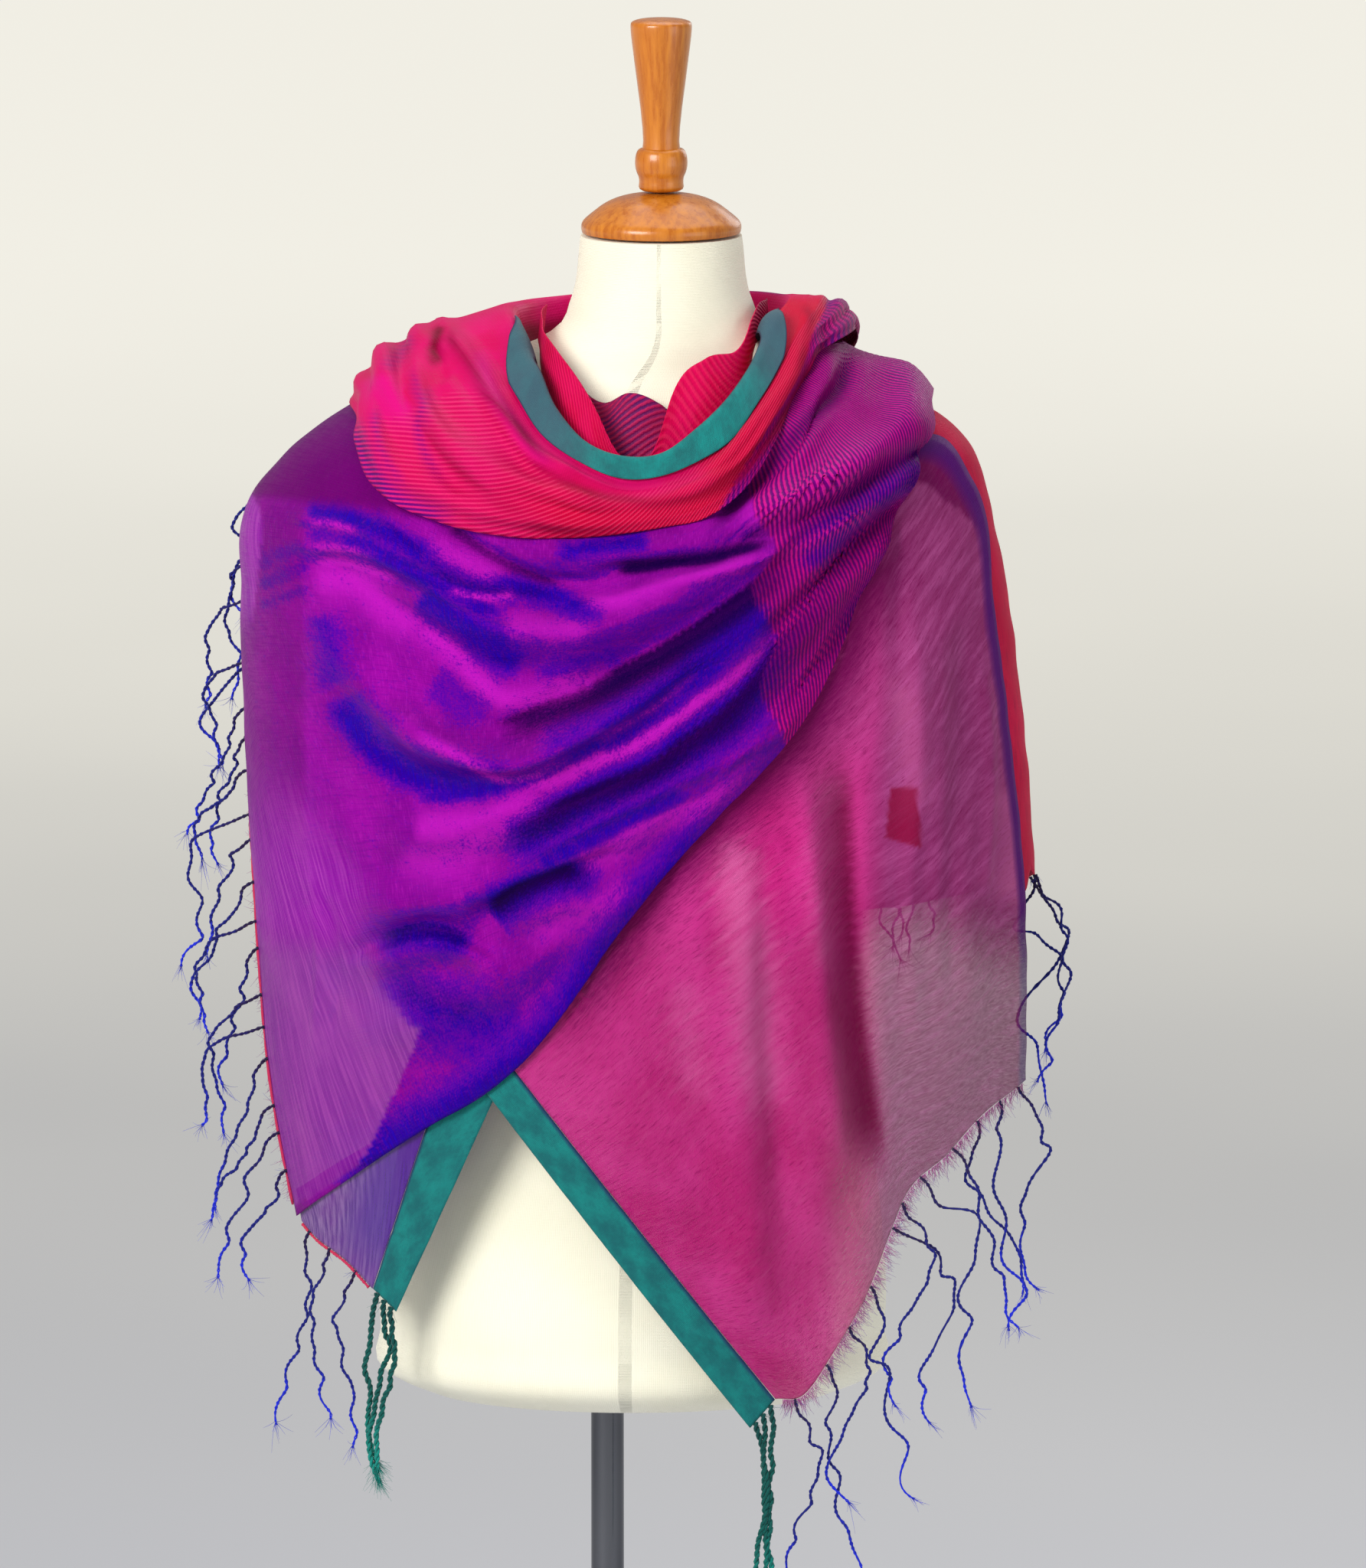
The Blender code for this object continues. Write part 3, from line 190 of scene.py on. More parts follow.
# Folds of the wrap and the panel: a soft ridge along a path of front-view points
Ridge = namedtuple("Ridge", "height width path")
WRAP_RIDGES = (
    Ridge(0.020, 0.019, ((-0.195, 1.225), (-0.150, 1.150), (-0.104, 1.123), (-0.060, 1.114), (-0.015, 1.132),
                         (0.050, 1.174), (0.095, 1.210), (0.132, 1.254), (0.156, 1.308))),
    Ridge(0.015, 0.016, ((-0.170, 1.060), (-0.104, 1.066), (-0.050, 1.080), (0.000, 1.100), (0.043, 1.128),
                         (0.085, 1.161), (0.120, 1.200), (0.148, 1.248), (0.166, 1.290))),
    Ridge(0.014, 0.014, ((-0.165, 1.268), (-0.123, 1.232), (-0.074, 1.203), (-0.025, 1.194), (0.023, 1.209),
                         (0.067, 1.232), (0.106, 1.256), (0.145, 1.296), (0.165, 1.335))),
    Ridge(0.010, 0.011, ((-0.084, 1.254), (-0.035, 1.244), (0.013, 1.244), (0.062, 1.254), (0.092, 1.268),
                         (0.118, 1.300), (0.136, 1.338), (0.146, 1.362))),
    Ridge(0.011, 0.016, ((-0.190, 1.022), (-0.130, 1.022), (-0.065, 1.036), (-0.006, 1.062), (0.043, 1.094),
                         (0.087, 1.130), (0.121, 1.160))),
    Ridge(0.007, 0.010, ((-0.150, 0.978), (-0.105, 0.996), (-0.060, 0.988))),
    Ridge(0.007, 0.010, ((-0.065, 1.008), (-0.025, 1.028), (0.012, 1.032))),
    Ridge(0.007, 0.016, ((-0.162, 0.931), (-0.104, 0.954), (-0.045, 0.991), (0.004, 1.026), (0.038, 1.056))),
    Ridge(0.006, 0.010, ((-0.165, 0.845), (-0.100, 0.895), (-0.040, 0.945), (0.000, 1.008), (0.060, 1.082),
                         (0.108, 1.137), (0.140, 1.200), (0.160, 1.245))),
)
PANEL_RIDGES = (
    Ridge(0.011, 0.016, ((0.092, 0.735), (0.088, 0.850), (0.083, 0.950), (0.090, 1.060))),
    Ridge(0.007, 0.018, ((0.135, 0.775), (0.130, 0.880), (0.124, 0.980), (0.128, 1.080))),
    Ridge(0.012, 0.024, ((0.222, 0.880), (0.212, 1.000), (0.200, 1.120), (0.192, 1.220))),
)

# The sheer panel on the wearer's left: its hidden upper side, its fringed side and its fold at the flank
PanelRow = namedtuple("PanelRow", "along top_x top_height low_x low_height")
PANEL = (
    PanelRow(0.00, -0.062, 0.926, 0.106, 0.708),
    PanelRow(0.12, -0.034, 0.964, 0.124, 0.710),
    PanelRow(0.25, -0.002, 1.018, 0.146, 0.742),
    PanelRow(0.38, 0.028, 1.056, 0.164, 0.774),
    PanelRow(0.50, 0.063, 1.095, 0.177, 0.808),
    PanelRow(0.62, 0.098, 1.130, 0.190, 0.838),
    PanelRow(0.75, 0.130, 1.175, 0.213, 0.857),
    PanelRow(0.87, 0.153, 1.232, 0.236, 0.880),
    PanelRow(1.00, 0.182, 1.309, 0.264, 0.896),
)
FoldRow = namedtuple("FoldRow", "down x height")
PANEL_FOLD = (
    FoldRow(0.00, 0.182, 1.309),
    FoldRow(0.06, 0.211, 1.304),
    FoldRow(0.12, 0.229, 1.278),
    FoldRow(0.30, 0.243, 1.195),
    FoldRow(0.50, 0.253, 1.115),
    FoldRow(0.70, 0.262, 1.030),
    FoldRow(0.85, 0.264, 0.963),
    FoldRow(1.00, 0.264, 0.896),
)
PANEL_CORNER_OUT = (0.090, 0.690)
PANEL_TUCK_OUT = (-0.080, 0.911)

# The corner that hangs out under the wrap on the wearer's right
UNDER = (
    PanelRow(0.00, -0.196, 0.826, -0.1925, 0.806),
    PanelRow(0.35, -0.168, 0.850, -0.182, 0.797),
    PanelRow(0.70, -0.136, 0.873, -0.163, 0.786),
    PanelRow(1.00, -0.108, 0.893, -0.147, 0.771),
)
UNDER_CORNER_OUT = (-0.132, 0.758)
UNDER_TUCK_OUT = (-0.066, 0.908)

# The back layer: where it starts, ends and how low it hangs, by the turn around the body in degrees
BackRow = namedtuple("BackRow", "turn top low")
BACK = (
    BackRow(63, 1.294, 1.215),
    BackRow(69, 1.318, 1.060),
    BackRow(82, 1.327, 1.026),
    BackRow(95, 1.338, 1.018),
    BackRow(120, 1.342, 1.000),
    BackRow(150, 1.342, 0.975),
    BackRow(180, 1.342, 0.962),
    BackRow(210, 1.342, 0.975),
    BackRow(240, 1.337, 1.005),
    BackRow(254, 1.322, 1.024),
    BackRow(264, 1.298, 1.045),
)
BACK_FOLDS = 5
BACK_FOLD_HEIGHT = 0.018
BACK_FOLD_START = 105
BACK_FOLD_END = 250

# The cowl around the neck: its hem on the wrap, the line where its border starts, and its rim
CowlRow = namedtuple("CowlRow", "turn hem_x hem_height hem_lift hem_behind band_reach band_height "
                                "rim_reach rim_height bulge")
COWL = (
    CowlRow(-180, -0.205, 1.306, 0.0085, 90, 0.094, 1.366, 0.078, 1.386, 0.10),
    CowlRow(-140, -0.190, 1.316, 0.0085, 48, 0.110, 1.364, 0.084, 1.384, 0.08),
    CowlRow(-110, -0.174, 1.325, 0.0095, 20, 0.124, 1.368, 0.088, 1.384, 0.05),
    CowlRow(-90, -0.158, 1.320, 0.0125, 0, 0.132, 1.371, 0.092, 1.384, 0.05),
    CowlRow(-73, -0.156, 1.304, 0.0130, 0, 0.120, 1.366, 0.094, 1.378, 0.09),
    CowlRow(-60, -0.143, 1.280, 0.0105, 0, 0.115, 1.350, 0.099, 1.362, 0.12),
    CowlRow(-46, -0.098, 1.260, 0.0099, 0, 0.125, 1.335, 0.105, 1.353, 0.14),
    CowlRow(-35, -0.058, 1.254, 0.0099, 0, 0.129, 1.313, 0.114, 1.332, 0.16),
    CowlRow(-23, -0.022, 1.254, 0.0099, 0, 0.127, 1.297, 0.1195, 1.312, 0.18),
    CowlRow(-12, 0.005, 1.256, 0.0099, 0, 0.124, 1.288, 0.118, 1.304, 0.18),
    CowlRow(0, 0.033, 1.260, 0.0099, 0, 0.120, 1.289, 0.113, 1.305, 0.18),
    CowlRow(12, 0.060, 1.266, 0.0099, 0, 0.117, 1.298, 0.107, 1.320, 0.18),
    CowlRow(22, 0.082, 1.281, 0.0105, 0, 0.115, 1.309, 0.101, 1.334, 0.16),
    CowlRow(35, 0.105, 1.310, 0.0135, 0, 0.108, 1.333, 0.093, 1.352, 0.14),
    CowlRow(54, 0.123, 1.340, 0.0185, 0, 0.097, 1.360, 0.080, 1.373, 0.12),
    CowlRow(71, 0.134, 1.360, 0.0280, 0, 0.091, 1.376, 0.076, 1.382, 0.12),
    CowlRow(90, 0.160, 1.367, 0.0295, 6, 0.092, 1.388, 0.079, 1.388, 0.12),
    CowlRow(115, 0.178, 1.346, 0.0215, 30, 0.098, 1.378, 0.080, 1.387, 0.12),
    CowlRow(145, 0.215, 1.318, 0.0120, 58, 0.096, 1.370, 0.079, 1.386, 0.12),
    CowlRow(180, 0.235, 1.306, 0.0085, 90, 0.094, 1.366, 0.078, 1.386, 0.10),
)
COWL_OPEN_TURN = 60
COWL_CLOSED_TURN = 80
BORDER_TURN = 76
BORDER_SINKS = 48
BORDER_SINK_LIFT = 0.0045
RIM_ROUND = 0.30
COWL_ROWS = 12
COWL_RIM_ROW = 10
COWL_TAIL = (-0.008, -0.030)

# Concentric folds of the cowl: how far up each lies at the left, front, right and back
CowlFold = namedtuple("CowlFold", "left front right back height width")
COWL_FOLD_ROOM = (0.028, 0.050)
COWL_FOLDS = (
    CowlFold(0.18, 0.16, 0.20, 0.20, 0.007, 0.10),
    CowlFold(0.46, 0.46, 0.50, 0.50, 0.009, 0.11),
    CowlFold(0.78, 0.80, 0.80, 0.80, 0.006, 0.09),
)

# Inner stretches of the winding, by the turn around the neck: upper and lower lines
LayerRow = namedtuple("LayerRow", "turn top_reach top_height low_reach low_height")
COWL_INNER = (
    LayerRow(-105, 0.0745, 1.380, 0.0758, 1.370),
    LayerRow(-70, 0.079, 1.374, 0.080, 1.362),
    LayerRow(-60, 0.085, 1.371, 0.086, 1.354),
    LayerRow(-45, 0.091, 1.361, 0.095, 1.334),
    LayerRow(-30, 0.098, 1.342, 0.106, 1.312),
    LayerRow(-23, 0.104, 1.329, 0.111, 1.298),
    LayerRow(-14, 0.107, 1.302, 0.110, 1.288),
    LayerRow(-4, 0.103, 1.300, 0.106, 1.286),
    LayerRow(5, 0.086, 1.338, 0.100, 1.294),
    LayerRow(20, 0.081, 1.358, 0.093, 1.314),
    LayerRow(36, 0.079, 1.361, 0.084, 1.336),
    LayerRow(55, 0.0690, 1.378, 0.0700, 1.364),
    LayerRow(70, 0.0642, 1.384, 0.0647, 1.373),
    LayerRow(105, 0.0685, 1.384, 0.0695, 1.374),
)
NECK_INNER = (
    LayerRow(-52, 0.083, 1.358, 0.089, 1.343),
    LayerRow(-43, 0.084, 1.347, 0.089, 1.328),
    LayerRow(-25, 0.081, 1.330, 0.0905, 1.302),
    LayerRow(-16, 0.078, 1.336, 0.088, 1.298),
    LayerRow(0, 0.075, 1.329, 0.0845, 1.298),
    LayerRow(9, 0.075, 1.320, 0.0845, 1.299),
    LayerRow(22, 0.073, 1.338, 0.085, 1.306),
    LayerRow(38, 0.071, 1.352, 0.081, 1.332),
)

# Small red end seen through the sheer panel
FLAP_GAP = 0.0014
FLAP_TOP = ((0.174, 1.094), (0.191, 1.094))
FLAP_LOW = ((0.171, 1.055), (0.197, 1.055))

# Loose strands: where each grows, how long it hangs, and how far and which way it swings out
Strand = namedtuple("Strand", "at length reach heading")

# Each fringe: where strands grow along its cloth's edge, and their sizes, taken in turn
Fringe = namedtuple("Fringe", "places lengths reaches headings")
LEFT_STRANDS = 20
LEFT_FIRST = 0.04
LEFT_SPACING = 0.0475
LEFT_SHIFT = 0.008
LEFT_PLACES = [LEFT_FIRST + LEFT_SPACING * index + LEFT_SHIFT * math.sin(2.3 * index)
               for index in range(LEFT_STRANDS)]
THIRDS = (0.20, 0.50, 0.80)
FRINGE_LEFT = Fringe(LEFT_PLACES, (0.085, 0.060, 0.098, 0.075, 0.092, 0.068, 0.088),
                     (0.036, 0.022, 0.030, 0.042, 0.026, 0.032), (0,))
FRINGE_LOW = Fringe(THIRDS, (0.120, 0.105, 0.110), (0.016, 0.012, 0.010), (0, 30, 10))
TASSEL_LEFT = Fringe(THIRDS, (0.105, 0.112, 0.100), (0.004,), (20,))
FRINGE_RIGHT = Fringe((0.08, 0.20, 0.29, 0.39, 0.52, 0.58, 0.66, 0.77, 0.85, 0.92, 0.975),
                      (0.125, 0.140, 0.110, 0.130, 0.120),
                      (0.012, 0.016, 0.012, 0.020, 0.030, 0.014, 0.034, 0.038),
                      (20, 50, -20, 30, 55, -10, 40))
TASSEL_RIGHT = Fringe(THIRDS, (0.124, 0.128, 0.125), (0.004,), (-10,))
FRINGE_BACK = Fringe((0.135, 0.157, 0.180), (0.130, 0.110, 0.140), (0.010, 0.006, 0.012), (0, 10, -10))
FRINGE_FLAP = Fringe((0.1, 0.3, 0.5, 0.7, 0.9), (0.060, 0.052, 0.068), (0.006, 0.010, 0.008),
                     (180, 170, 190))


# Finer creases, seen from the front: x, and height along the picture's own upright, which leans back a little
Crease = namedtuple("Crease", "height above below path")


def photo(*places):
    """Front-view places given in the photograph's pixels."""
    left, top = PICTURE_ORIGIN
    return tuple(((across - left) / PIXELS, PICTURE_TOP - (down - top) / PIXELS) for across, down in places)


WRAP_CREASES = (
    Crease(0.0026, 0.005, 0.003, ((-0.200, 1.228), (-0.179, 1.2253), (-0.155, 1.2213), (-0.130, 1.212))),
    Crease(0.0034, 0.006, 0.003, ((-0.200, 1.212), (-0.182, 1.2095), (-0.154, 1.2079), (-0.117, 1.192),
                                  (-0.062, 1.176), (-0.030, 1.176))),
    Crease(-0.0036, 0.005, 0.006, ((-0.200, 1.196), (-0.184, 1.1984), (-0.165, 1.199), (-0.133, 1.188),
                                   (-0.0935, 1.1700), (-0.070, 1.166), (-0.030, 1.163))),
    Crease(-0.0042, 0.006, 0.008, ((-0.178, 1.200), (-0.157, 1.1889), (-0.117, 1.1640), (-0.0935, 1.1470),
                                   (-0.070, 1.1353), (-0.030, 1.131))),
    Crease(-0.0075, 0.012, 0.010, ((-0.185, 1.150), (-0.168, 1.1210), (-0.149, 1.0974), (-0.133, 1.0760),
                                   (-0.101, 1.0610), (-0.043, 1.0650), (-0.013, 1.0800), (0.022, 1.1000),
                                   (0.063, 1.1335), (0.090, 1.160))),
    Crease(0.0048, 0.007, 0.006, ((-0.145, 1.120), (-0.117, 1.0974), (-0.086, 1.0772), (-0.057, 1.0716),
                                  (-0.020, 1.086), (0.020, 1.110), (0.060, 1.144))),
    Crease(-0.0068, 0.008, 0.010, ((-0.095, 1.086), (-0.061, 1.0985), (-0.022, 1.1179), (0.013, 1.1355),
                                   (0.0485, 1.1549), (0.093, 1.1848), (0.124, 1.2236), (0.140, 1.250))),
    Crease(-0.0066, 0.008, 0.010, ((-0.105, 1.022), (-0.061, 1.0386), (-0.022, 1.0580), (0.013, 1.0756),
                                   (0.057, 1.1020), (0.101, 1.1408), (0.154, 1.2024), (0.168, 1.230))),
    Crease(0.0036, 0.006, 0.004, ((-0.060, 1.010), (-0.034, 1.024), (0.0045, 1.0431), (0.040, 1.0607),
                                  (0.101, 1.0906), (0.125, 1.112))),
    Crease(-0.0056, 0.007, 0.009, ((-0.090, 0.976), (-0.067, 0.9860), (-0.044, 1.0010), (-0.010, 1.0122),
                                   (0.020, 1.024))),
    Crease(-0.0052, 0.007, 0.004, ((-0.165, 0.950), (-0.147, 0.9621), (-0.111, 0.9731), (-0.081, 0.9650),
                                   (-0.060, 0.952))),
    Crease(-0.0024, 0.014, 0.016, ((-0.170, 0.930), (-0.150, 0.935), (-0.105, 0.920), (-0.055, 0.918),
                                   (-0.020, 0.950), (0.010, 0.985))),
    Crease(-0.0046, 0.004, 0.007, ((-0.110, 1.232), (-0.092, 1.2200), (-0.062, 1.2007), (-0.040, 1.1901),
                                   (-0.022, 1.1875), (0.000, 1.188))),
    Crease(-0.0042, 0.004, 0.006, ((-0.010, 1.192), (0.013, 1.1954), (0.0485, 1.1989), (0.093, 1.2077),
                                   (0.120, 1.224))),
    Crease(0.0030, 0.006, 0.004, ((-0.030, 1.166), (-0.004, 1.1735), (0.0485, 1.1876), (0.101, 1.2052),
                                  (0.130, 1.228))),
    Crease(-0.0024, 0.003, 0.003, ((-0.150, 1.236), (-0.128, 1.222), (-0.108, 1.204))),
    Crease(0.0022, 0.003, 0.005, ((0.060, 1.060), (0.090, 1.088), (0.125, 1.135), (0.150, 1.180))),
    Crease(-0.0024, 0.003, 0.003, ((-0.176, 1.000), (-0.168, 0.950), (-0.172, 0.900))),
    Crease(-0.0080, 0.006, 0.006, photo((1110, 440), (1102, 497), (1064, 542), (1015, 600), (961, 655),
                                       (925, 690))),
    Crease(0.0120, 0.020, 0.012, photo((1120, 400), (1175, 470), (1176, 560), (1098, 625), (1015, 672),
                                       (950, 700))),
    Crease(-0.0080, 0.005, 0.007, photo((1230, 585), (1197, 592), (1139, 625), (1089, 659), (1035, 684),
                                        (985, 703), (930, 720))),
    Crease(0.0060, 0.006, 0.007, photo((1200, 610), (1150, 650), (1095, 690), (1030, 722), (970, 742))),
    Crease(-0.0055, 0.006, 0.006, photo((1190, 650), (1140, 690), (1080, 752), (1030, 800), (985, 850))),
    Crease(0.0045, 0.006, 0.006, photo((1170, 690), (1120, 745), (1062, 815), (1010, 875))),
    Crease(-0.0045, 0.006, 0.006, photo((1165, 740), (1110, 810), (1060, 875), (1010, 935))),
    Crease(0.0020, 0.003, 0.003, ((-0.186, 1.020), (-0.180, 0.960), (-0.184, 0.890))),
)
PANEL_TROUGH = ((0.146, 1.100), (0.150, 1.0242), (0.1566, 0.9240), (0.1640, 0.870), (0.1733, 0.8071))
PANEL_CREASES = (
    Crease(-0.0080, 0.007, 0.015, PANEL_TROUGH),
    Crease(0.0050, 0.010, 0.008, ((0.118, 1.090), (0.128, 1.000), (0.138, 0.900), (0.150, 0.800))),
    Crease(0.0045, 0.008, 0.006, ((0.190, 1.180), (0.194, 1.080), (0.188, 0.980), (0.196, 0.880))),
    Crease(-0.0040, 0.008, 0.008, ((0.224, 1.180), (0.222, 1.080), (0.216, 0.980), (0.222, 0.900))),
    Crease(0.0030, 0.010, 0.010, ((0.040, 1.030), (0.060, 0.960), (0.072, 0.880), (0.084, 0.780))),
    Crease(-0.0030, 0.008, 0.008, ((0.098, 1.060), (0.100, 0.970), (0.104, 0.880), (0.112, 0.780))),
    Crease(-0.0024, 0.005, 0.007, ((0.168, 1.260), (0.182, 1.200), (0.180, 1.130))),
    Crease(0.0030, 0.004, 0.005, ((0.236, 1.140), (0.240, 1.060), (0.236, 0.980))),
)
COWL_CREASES = (
    Crease(0.0045, 0.007, 0.006, ((-0.108, 1.360), (-0.102, 1.3495), (-0.078, 1.3155), (-0.053, 1.2696),
                                  (-0.024, 1.2423), (0.010, 1.228))),
    Crease(-0.0050, 0.005, 0.005, ((-0.110, 1.350), (-0.094, 1.322), (-0.070, 1.286), (-0.044, 1.256),
                                   (-0.010, 1.236))),
    Crease(0.0045, 0.006, 0.006, ((-0.124, 1.362), (-0.121, 1.3512), (-0.111, 1.2934), (-0.078, 1.2525),
                                  (-0.050, 1.232))),
    Crease(-0.0045, 0.005, 0.005, ((-0.130, 1.345), (-0.124, 1.300), (-0.104, 1.262), (-0.080, 1.238))),
    Crease(0.0050, 0.007, 0.006, ((-0.142, 1.345), (-0.140, 1.3257), (-0.143, 1.2866), (-0.129, 1.2355),
                                  (-0.110, 1.222))),
    Crease(-0.0060, 0.004, 0.004, ((-0.109, 1.3420), (-0.1056, 1.3325), (-0.1039, 1.3223), (-0.098, 1.312))),
    Crease(0.0045, 0.006, 0.007, ((0.146, 1.380), (0.1489, 1.3672), (0.1558, 1.3435), (0.1361, 1.3139),
                                  (0.1065, 1.2685), (0.0709, 1.2290), (0.040, 1.222))),
    Crease(-0.0046, 0.005, 0.005, ((0.132, 1.365), (0.138, 1.338), (0.120, 1.302), (0.092, 1.264),
                                   (0.060, 1.236), (0.020, 1.226))),
    Crease(0.0036, 0.005, 0.005, ((0.122, 1.350), (0.116, 1.318), (0.092, 1.284), (0.062, 1.250),
                                  (0.030, 1.240))),
    Crease(-0.0030, 0.005, 0.005, ((-0.030, 1.258), (0.000, 1.246), (0.035, 1.246), (0.070, 1.262))),
)
BORDER_CREASES = (
    Crease(0.0012, 0.003, 0.002, ((0.050, 0.722), (0.066, 0.716), (0.080, 0.712))),
    Crease(-0.0012, 0.002, 0.003, ((0.058, 0.712), (0.072, 0.704), (0.088, 0.700))),
    Crease(0.0010, 0.003, 0.002, ((0.020, 0.760), (0.036, 0.750), (0.050, 0.748))),
    Crease(-0.0010, 0.002, 0.002, ((-0.140, 0.790), (-0.132, 0.780), (-0.122, 0.778))),
)
Rib = namedtuple("Rib", "across slope")
COWL_RIBS = (
    Rib(-0.300, 0.00),
    Rib(-0.165, -0.06),
    Rib(-0.110, -0.06),
    Rib(-0.070, 0.10),
    Rib(-0.045, 0.34),
    Rib(-0.005, 0.50),
    Rib(0.030, 1.10),
    Rib(0.060, 1.50),
    Rib(0.300, 1.50),
)
COWL_RIB_TOP = photo((380, 585), (440, 567), (473, 559), (517, 547), (560, 530), (602, 513), (640, 528),
                     (668, 570), (700, 612), (745, 640), (800, 650), (860, 640), (920, 600), (960, 560),
                     (1000, 500))
STRIPE_EDGE = ((0.118, 1.030), (0.112, 1.0862), (0.096, 1.1214), (0.105, 1.1531), (0.091, 1.1813),
               (0.105, 1.2077), (0.093, 1.2289), (0.088, 1.260))
THIN_CORNER = ((-0.236, 1.262), (-0.216, 1.232), (-0.218, 1.190), (-0.224, 1.150))
THIN_EDGE = ((-0.2100, 1.100), (-0.1958, 1.0743), (-0.1774, 1.0376), (-0.1574, 1.0075), (-0.1474, 0.9741),
             (-0.1407, 0.9407), (-0.1223, 0.9140), (-0.1171, 0.9062), (-0.1371, 0.8591), (-0.1524, 0.8291),
             (-0.1695, 0.8143), (-0.1871, 0.8029), (-0.2150, 0.7850))
PANEL_SECOND_EDGE = ((0.150, 1.290), (0.180, 1.268), (0.1917, 1.2526), (0.2067, 1.2426), (0.2368, 1.2176),
                     (0.256, 1.190))
COWL_STRIPE_EDGE = ((0.030, 1.190), (0.0600, 1.2170), (0.0820, 1.2520), (0.0990, 1.2800), (0.1160, 1.3080),
                    (0.1240, 1.3260), (0.1290, 1.3440), (0.1380, 1.3640), (0.140, 1.390))

BACK_CREASES = (
    Crease(0.0060, 0.016, 0.012, ((-0.150, 1.200), (-0.158, 1.100), (-0.150, 1.000), (-0.162, 0.900))),
    Crease(-0.0070, 0.012, 0.014, ((-0.098, 1.240), (-0.106, 1.120), (-0.096, 0.980), (-0.104, 0.880))),
    Crease(0.0050, 0.014, 0.012, ((-0.052, 1.180), (-0.046, 1.080), (-0.058, 0.960))),
    Crease(-0.0060, 0.014, 0.012, ((0.004, 1.260), (0.012, 1.140), (0.002, 1.010), (0.010, 0.890))),
    Crease(0.0065, 0.012, 0.016, ((0.062, 1.220), (0.054, 1.100), (0.064, 0.960), (0.058, 0.860))),
    Crease(-0.0055, 0.013, 0.011, ((0.120, 1.240), (0.112, 1.120), (0.124, 1.000))),
    Crease(0.0055, 0.012, 0.012, ((0.172, 1.200), (0.180, 1.080), (0.170, 0.950), (0.178, 0.870))),
)

# Painted light along the silk's folds: blue bands of painted shade and sheen, dark bands of painted shade,
# bright ones of painted highlights, by paths in the photograph's pixels
Shade = namedtuple("Shade", "strength above below path")
# Painted shade and sheen: where the shot silk turns blue on the folds' slopes and troughs
BLUE_PAINTED_SHADE = (
    Shade(0.55, 20, 22, ((690, 985), (728, 975), (760, 955), (830, 915), (900, 870), (960, 820))),
    Shade(0.50, 10, 10, ((680, 850), (760, 850), (826, 836))),
    Shade(0.50, 14, 14, ((400, 690), (430, 705), (480, 735))),
    Shade(0.50, 18, 18, ((560, 880), (600, 910), (650, 940))),
    Shade(0.45, 24, 24, ((930, 960), (980, 915), (1050, 850))),
    Shade(1.20, 10, 26, ((1235, 590), (1190, 625), (1130, 668), (1080, 715), (1030, 760))),
    Shade(0.60, 14, 14, ((1210, 640), (1175, 700), (1130, 780), (1080, 860))),
    Shade(0.90, 9, 9, ((715, 727), (767, 720), (819, 712), (856, 707))),
    Shade(1.00, 8, 11, ((538, 742), (560, 749), (615, 764), (671, 768), (719, 779), (767, 798), (804, 805))),
    Shade(0.95, 18, 20, ((545, 775), (560, 783), (597, 812), (634, 838), (671, 860), (693, 875))),
    Shade(0.70, 8, 9, ((686, 879), (745, 872), (782, 862), (826, 851))),
    Shade(1.00, 22, 18, ((760, 990), (797, 971), (841, 934), (893, 894), (948, 842), (989, 805),
                         (1015, 775))),
    Shade(1.10, 8, 7, ((545, 1034), (560, 1038), (615, 1034), (682, 1018), (745, 990), (800, 960),
                       (856, 923), (923, 872))),
    Shade(0.80, 18, 11, ((530, 1019), (560, 1012), (604, 1019), (656, 1023))),
    Shade(1.00, 11, 33, ((634, 1112), (671, 1090), (726, 1053), (800, 1012), (874, 975), (948, 916),
                         (1004, 857), (1059, 798))),
    Shade(0.90, 18, 7, ((701, 1138), (719, 1127), (767, 1101), (819, 1075), (874, 1049), (923, 1019))),
    Shade(1.10, 11, 22, ((634, 1186), (652, 1175), (701, 1149), (745, 1138), (797, 1116))),
    Shade(0.60, 7, 7, ((601, 1179), (623, 1175), (649, 1171))),
    Shade(1.00, 10, 9, ((394, 663), (412, 667), (466, 679), (519, 708), (555, 729), (609, 765),
                        (662, 778), (740, 783))),
    Shade(1.00, 8, 12, ((398, 697), (459, 708), (501, 726), (555, 751), (591, 769), (637, 794), (680, 801))),
    Shade(0.50, 6, 6, ((328, 740), (366, 726), (409, 713))),
    Shade(0.50, 6, 6, ((328, 765), (366, 751), (409, 736))),
    Shade(0.50, 5, 5, ((328, 792), (366, 778), (409, 763))),
    Shade(0.60, 17, 13, ((419, 792), (427, 832), (432, 872), (442, 909))),
    Shade(1.00, 20, 11, ((435, 905), (445, 928), (478, 968), (512, 1001), (578, 1026), (644, 1026),
                         (700, 1011))),
    Shade(0.75, 35, 35, ((460, 1295), (517, 1309), (580, 1330), (643, 1344), (706, 1351))),
    Shade(1.00, 6, 21, ((474, 1235), (531, 1214), (580, 1214), (629, 1239))),
    Shade(1.00, 28, 21, ((411, 1554), (453, 1526), (545, 1484), (643, 1421), (727, 1351), (776, 1281),
                         (853, 1182), (952, 1063), (1008, 1000))),
    Shade(0.50, 21, 21, ((425, 1302), (446, 1267), (482, 1239))),
)
